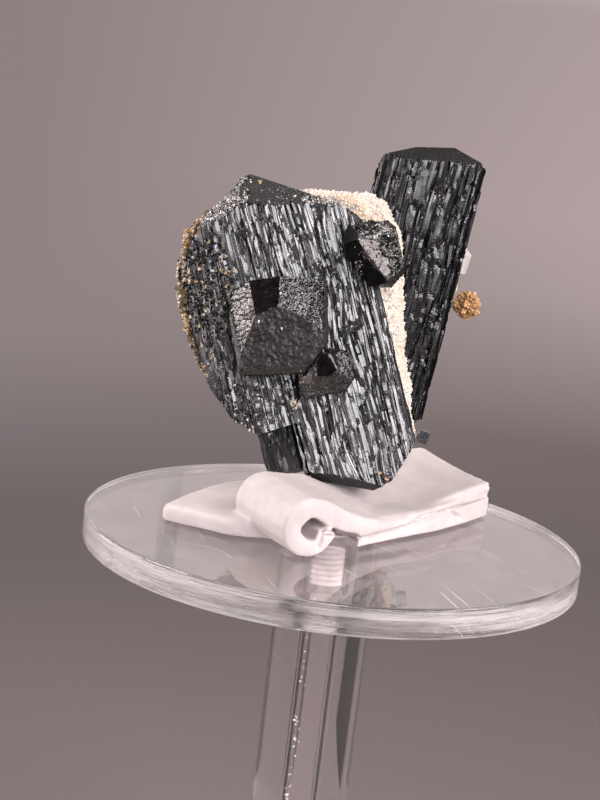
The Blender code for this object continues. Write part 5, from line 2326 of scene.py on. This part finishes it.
@dataclass
class Studio:
    """Surroundings, floor, dark cloth, side cards and lights.

    Each sky is a plain ramp over the height of the view, one for the left and one for the right.
    """

    floor_colour: str = "726b6a"
    fade_from: float = 0.07
    fade_to: float = 0.25
    left_sky: tuple = (
        (0.0, "766a6a"), (0.15, "6f6566"), (0.25, "8e8283"), (0.47, "8f8183"), (0.53, "dcd0d1"),
        (0.66, "efe5e5"), (0.78, "2c292b"),
    )
    right_sky: tuple = (
        (0.0, "837675"), (0.16, "6e6462"), (0.22, "776b69"), (0.31, "ab9b9b"), (0.355, "b3a2a2"),
        (0.475, "ad9d9e"), (0.53, "e8dcdc"), (0.66, "f6ecec"), (0.78, "2c292b"),
    )
    boxes: tuple = (
        SoftBox("key_right", (430.0, -170.0, 350.0), (300.0, 300.0), 2.35),
        SoftBox("window_left", (-470.0, 110.0, 60.0), (300.0, 330.0), 1.1),
        SoftBox("window_high", (-400.0, 60.0, 400.0), (250.0, 250.0), 2.3),
        SoftBox("front_right", (245.0, -480.0, 230.0), (540.0, 360.0), 3.2, "fbf8fc"),
        SoftBox("front_left", (-380.0, -330.0, 20.0), (240.0, 200.0), 0.24),
    )
    cards: tuple = (("card_far_left", -36.0, 40.0, 104.0), ("card_left", -50.0, 2.0, 42.0),
                    ("card_right", 50.0, 2.0, 46.0))
    card_middle: float = 36.0
    card_height: float = 70.0

    def world(self) -> None:
        """Mauve grey surroundings, darkest just below the horizon and lighter at the upper right."""
        made = bpy.data.worlds.new("studio")
        bpy.context.scene.world = made
        made.use_nodes = True
        tree = made.node_tree
        sight = node(tree, "TexCoord").outputs["Generated"]
        split = node(tree, "SeparateXYZ", {"Vector": sight})
        height = spread(tree, split.outputs["Z"], -0.45, 0.75)
        side = spread(tree, split.outputs["X"], -0.22, 0.2)
        left, right = ramp(tree, height, *self.left_sky), ramp(tree, height, *self.right_sky)
        fill(tree.nodes["Background"], {"Color": mixed(tree, side, left, right), "Strength": 1.0})

    def matt(self, name: str, colour: str, roughness: float, specular: float = 0.0) -> tuple:
        """Dull material for a thing of the stage.

        Args:
            name: The material's name.
            colour: Its sRGB hex colour.
            roughness: Its roughness.
            specular: Its specular level.

        Returns:
            The material, its node tree and its Principled node.
        """
        made, tree, shader = blank_material(name)
        fill(shader, {
            "Base Color": linear(colour), "Roughness": roughness, "Specular IOR Level": specular,
        })
        return made, tree, shader

    def floor(self) -> None:
        """Paper floor that fades into the surroundings."""
        made, tree, shader = self.matt("paper_floor", self.floor_colour, 0.8, 0.1)
        reach = node(tree, "VectorMath", {0: place_on(tree)}, operation="LENGTH").outputs["Value"]
        fill(shader, {"Alpha": spread(tree, reach, self.fade_from, self.fade_to, 1.0, 0.0,
                                      interpolation_type="SMOOTHSTEP")})
        bm = bmesh.new()
        bmesh.ops.create_circle(bm, cap_ends=True, radius=self.fade_to / MM, segments=96)
        solid("paper_floor", bm, IN_MM, made)

    def sheet(self, name: str, place: tuple, axis: str, size: tuple, finish: Material) -> Object:
        """Upright sheet that the camera doesn't see and that throws no shadow.

        Args:
            name: Its name.
            place: Its middle, in mm.
            axis: Axis that it is turned upright about.
            size: Its two sizes in mm, before it is turned.
            finish: Its material.

        Returns:
            The sheet's object.
        """
        bm = bmesh.new()
        bmesh.ops.create_grid(bm, x_segments=1, y_segments=1, size=0.5)
        upright = (Matrix.Translation(place) @ Matrix.Rotation(math.pi / 2.0, 4, axis)
                   @ Matrix.Diagonal((*size, 1.0, 1.0)))
        bmesh.ops.transform(bm, matrix=upright, verts=bm.verts)
        piece = solid(name, bm, IN_MM, finish)
        piece.visible_camera = False
        piece.visible_shadow = False
        return piece

    def flag(self) -> None:
        """Dark cloth behind the camera, which keeps the black faces black."""
        cloth, _, _ = self.matt("dark_cloth", "17161a", 0.9)
        self.sheet("dark_cloth", (-60.0, -620.0, 330.0), "X", (1000.0, 1000.0), cloth)

    def side_cards(self) -> None:
        """Black cards beside the stand, seen only through it, that give the clear rod its dark bands."""
        for name, x, near, far in self.cards:
            made, tree, shader = self.matt(f"{name}_black", "1c1a1c", 0.9)
            split = node(tree, "SeparateXYZ", {"Vector": place_on(tree)})
            soft = 1.0
            for axis, clear, full in (("Y", near, near + 9.0), ("Y", far, far - 14.0), ("Z", 70.0, 50.0)):
                soft = worked_out(tree, "MULTIPLY", soft, spread(
                    tree, split.outputs[axis], clear * MM, full * MM, interpolation_type="SMOOTHSTEP",
                ))
            fill(shader, {"Alpha": soft})
            piece = self.sheet(name, (x, (near + far) / 2.0, self.card_middle), "Y",
                               (self.card_height, far - near), made)
            piece.visible_diffuse = False
            piece.visible_glossy = False

    def build(self) -> None:
        """Make the stage."""
        self.world()
        self.floor()
        self.flag()
        self.side_cards()
        for box in self.boxes:
            box.build()


@dataclass(frozen=True)
class PhotoCamera:
    """Camera that stands where the photograph was taken from."""

    place: tuple = (-8.62487, -242.24405, 145.55921)
    right: tuple = (0.993093, 0.020644, 0.115500)
    up: tuple = (-0.117330, 0.174736, 0.977600)
    back: tuple = (0.0, -0.984399, 0.175951)
    lens: float = 61.589
    sensor: float = 36.0
    wide: int = 600
    high: int = 800

    def ray(self, x: float, y: float) -> tuple:
        """Ray through a pixel of the photograph.

        Args:
            x: Pixels from the left.
            y: Pixels from the top.

        Returns:
            Its start in metres and its direction.
        """
        reach = self.lens / self.sensor * self.high
        across, rise = (x - self.wide / 2) / reach, (self.high / 2 - y) / reach
        direction = Vector(self.right) * across + Vector(self.up) * rise - Vector(self.back)
        return Vector(self.place) * MM, direction.normalized()

    def pixel(self, place: Vector) -> tuple:
        """Pixel of the photograph that a place falls on.

        Args:
            place: The place in metres.

        Returns:
            Pixels from the left and from the top.
        """
        away = place / MM - Vector(self.place)
        reach = -self.lens / self.sensor * self.high / away.dot(Vector(self.back))
        return (self.wide / 2 + away.dot(Vector(self.right)) * reach,
                self.high / 2 - away.dot(Vector(self.up)) * reach)

    def build(self) -> None:
        """Make the camera and use it."""
        lens = bpy.data.cameras.new("photo_camera")
        lens.lens = self.lens
        lens.sensor_width = self.sensor
        lens.clip_start = 0.01
        made = linked("photo_camera", lens)
        axes = (self.right, self.up, self.back, tuple(part * MM for part in self.place))
        made.matrix_world = Matrix([[axis[row] for axis in axes] for row in range(3)] + [[0, 0, 0, 1]])
        bpy.context.scene.camera = made


def write_sizes() -> None:
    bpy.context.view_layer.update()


def main() -> None:
    """Build every sub-assembly in order."""
    logging.basicConfig(level=logging.INFO, format="%(message)s")
    bpy.context.scene.view_settings.view_transform = "Standard"
    PhotoCamera().build()
    Studio().build()
    ClearStand().build()
    PuttyStrip().build()
    crystals = IlvaiteCrystals().build()
    crust = QuartzCrust().build()
    dark = Sphalerites().build()
    Overgrowth().build(crystals, crust, *dark)
    SideriteBall().build()
    QuartzSlivers().build()
    write_sizes()


if __name__ == "__main__":
    main()
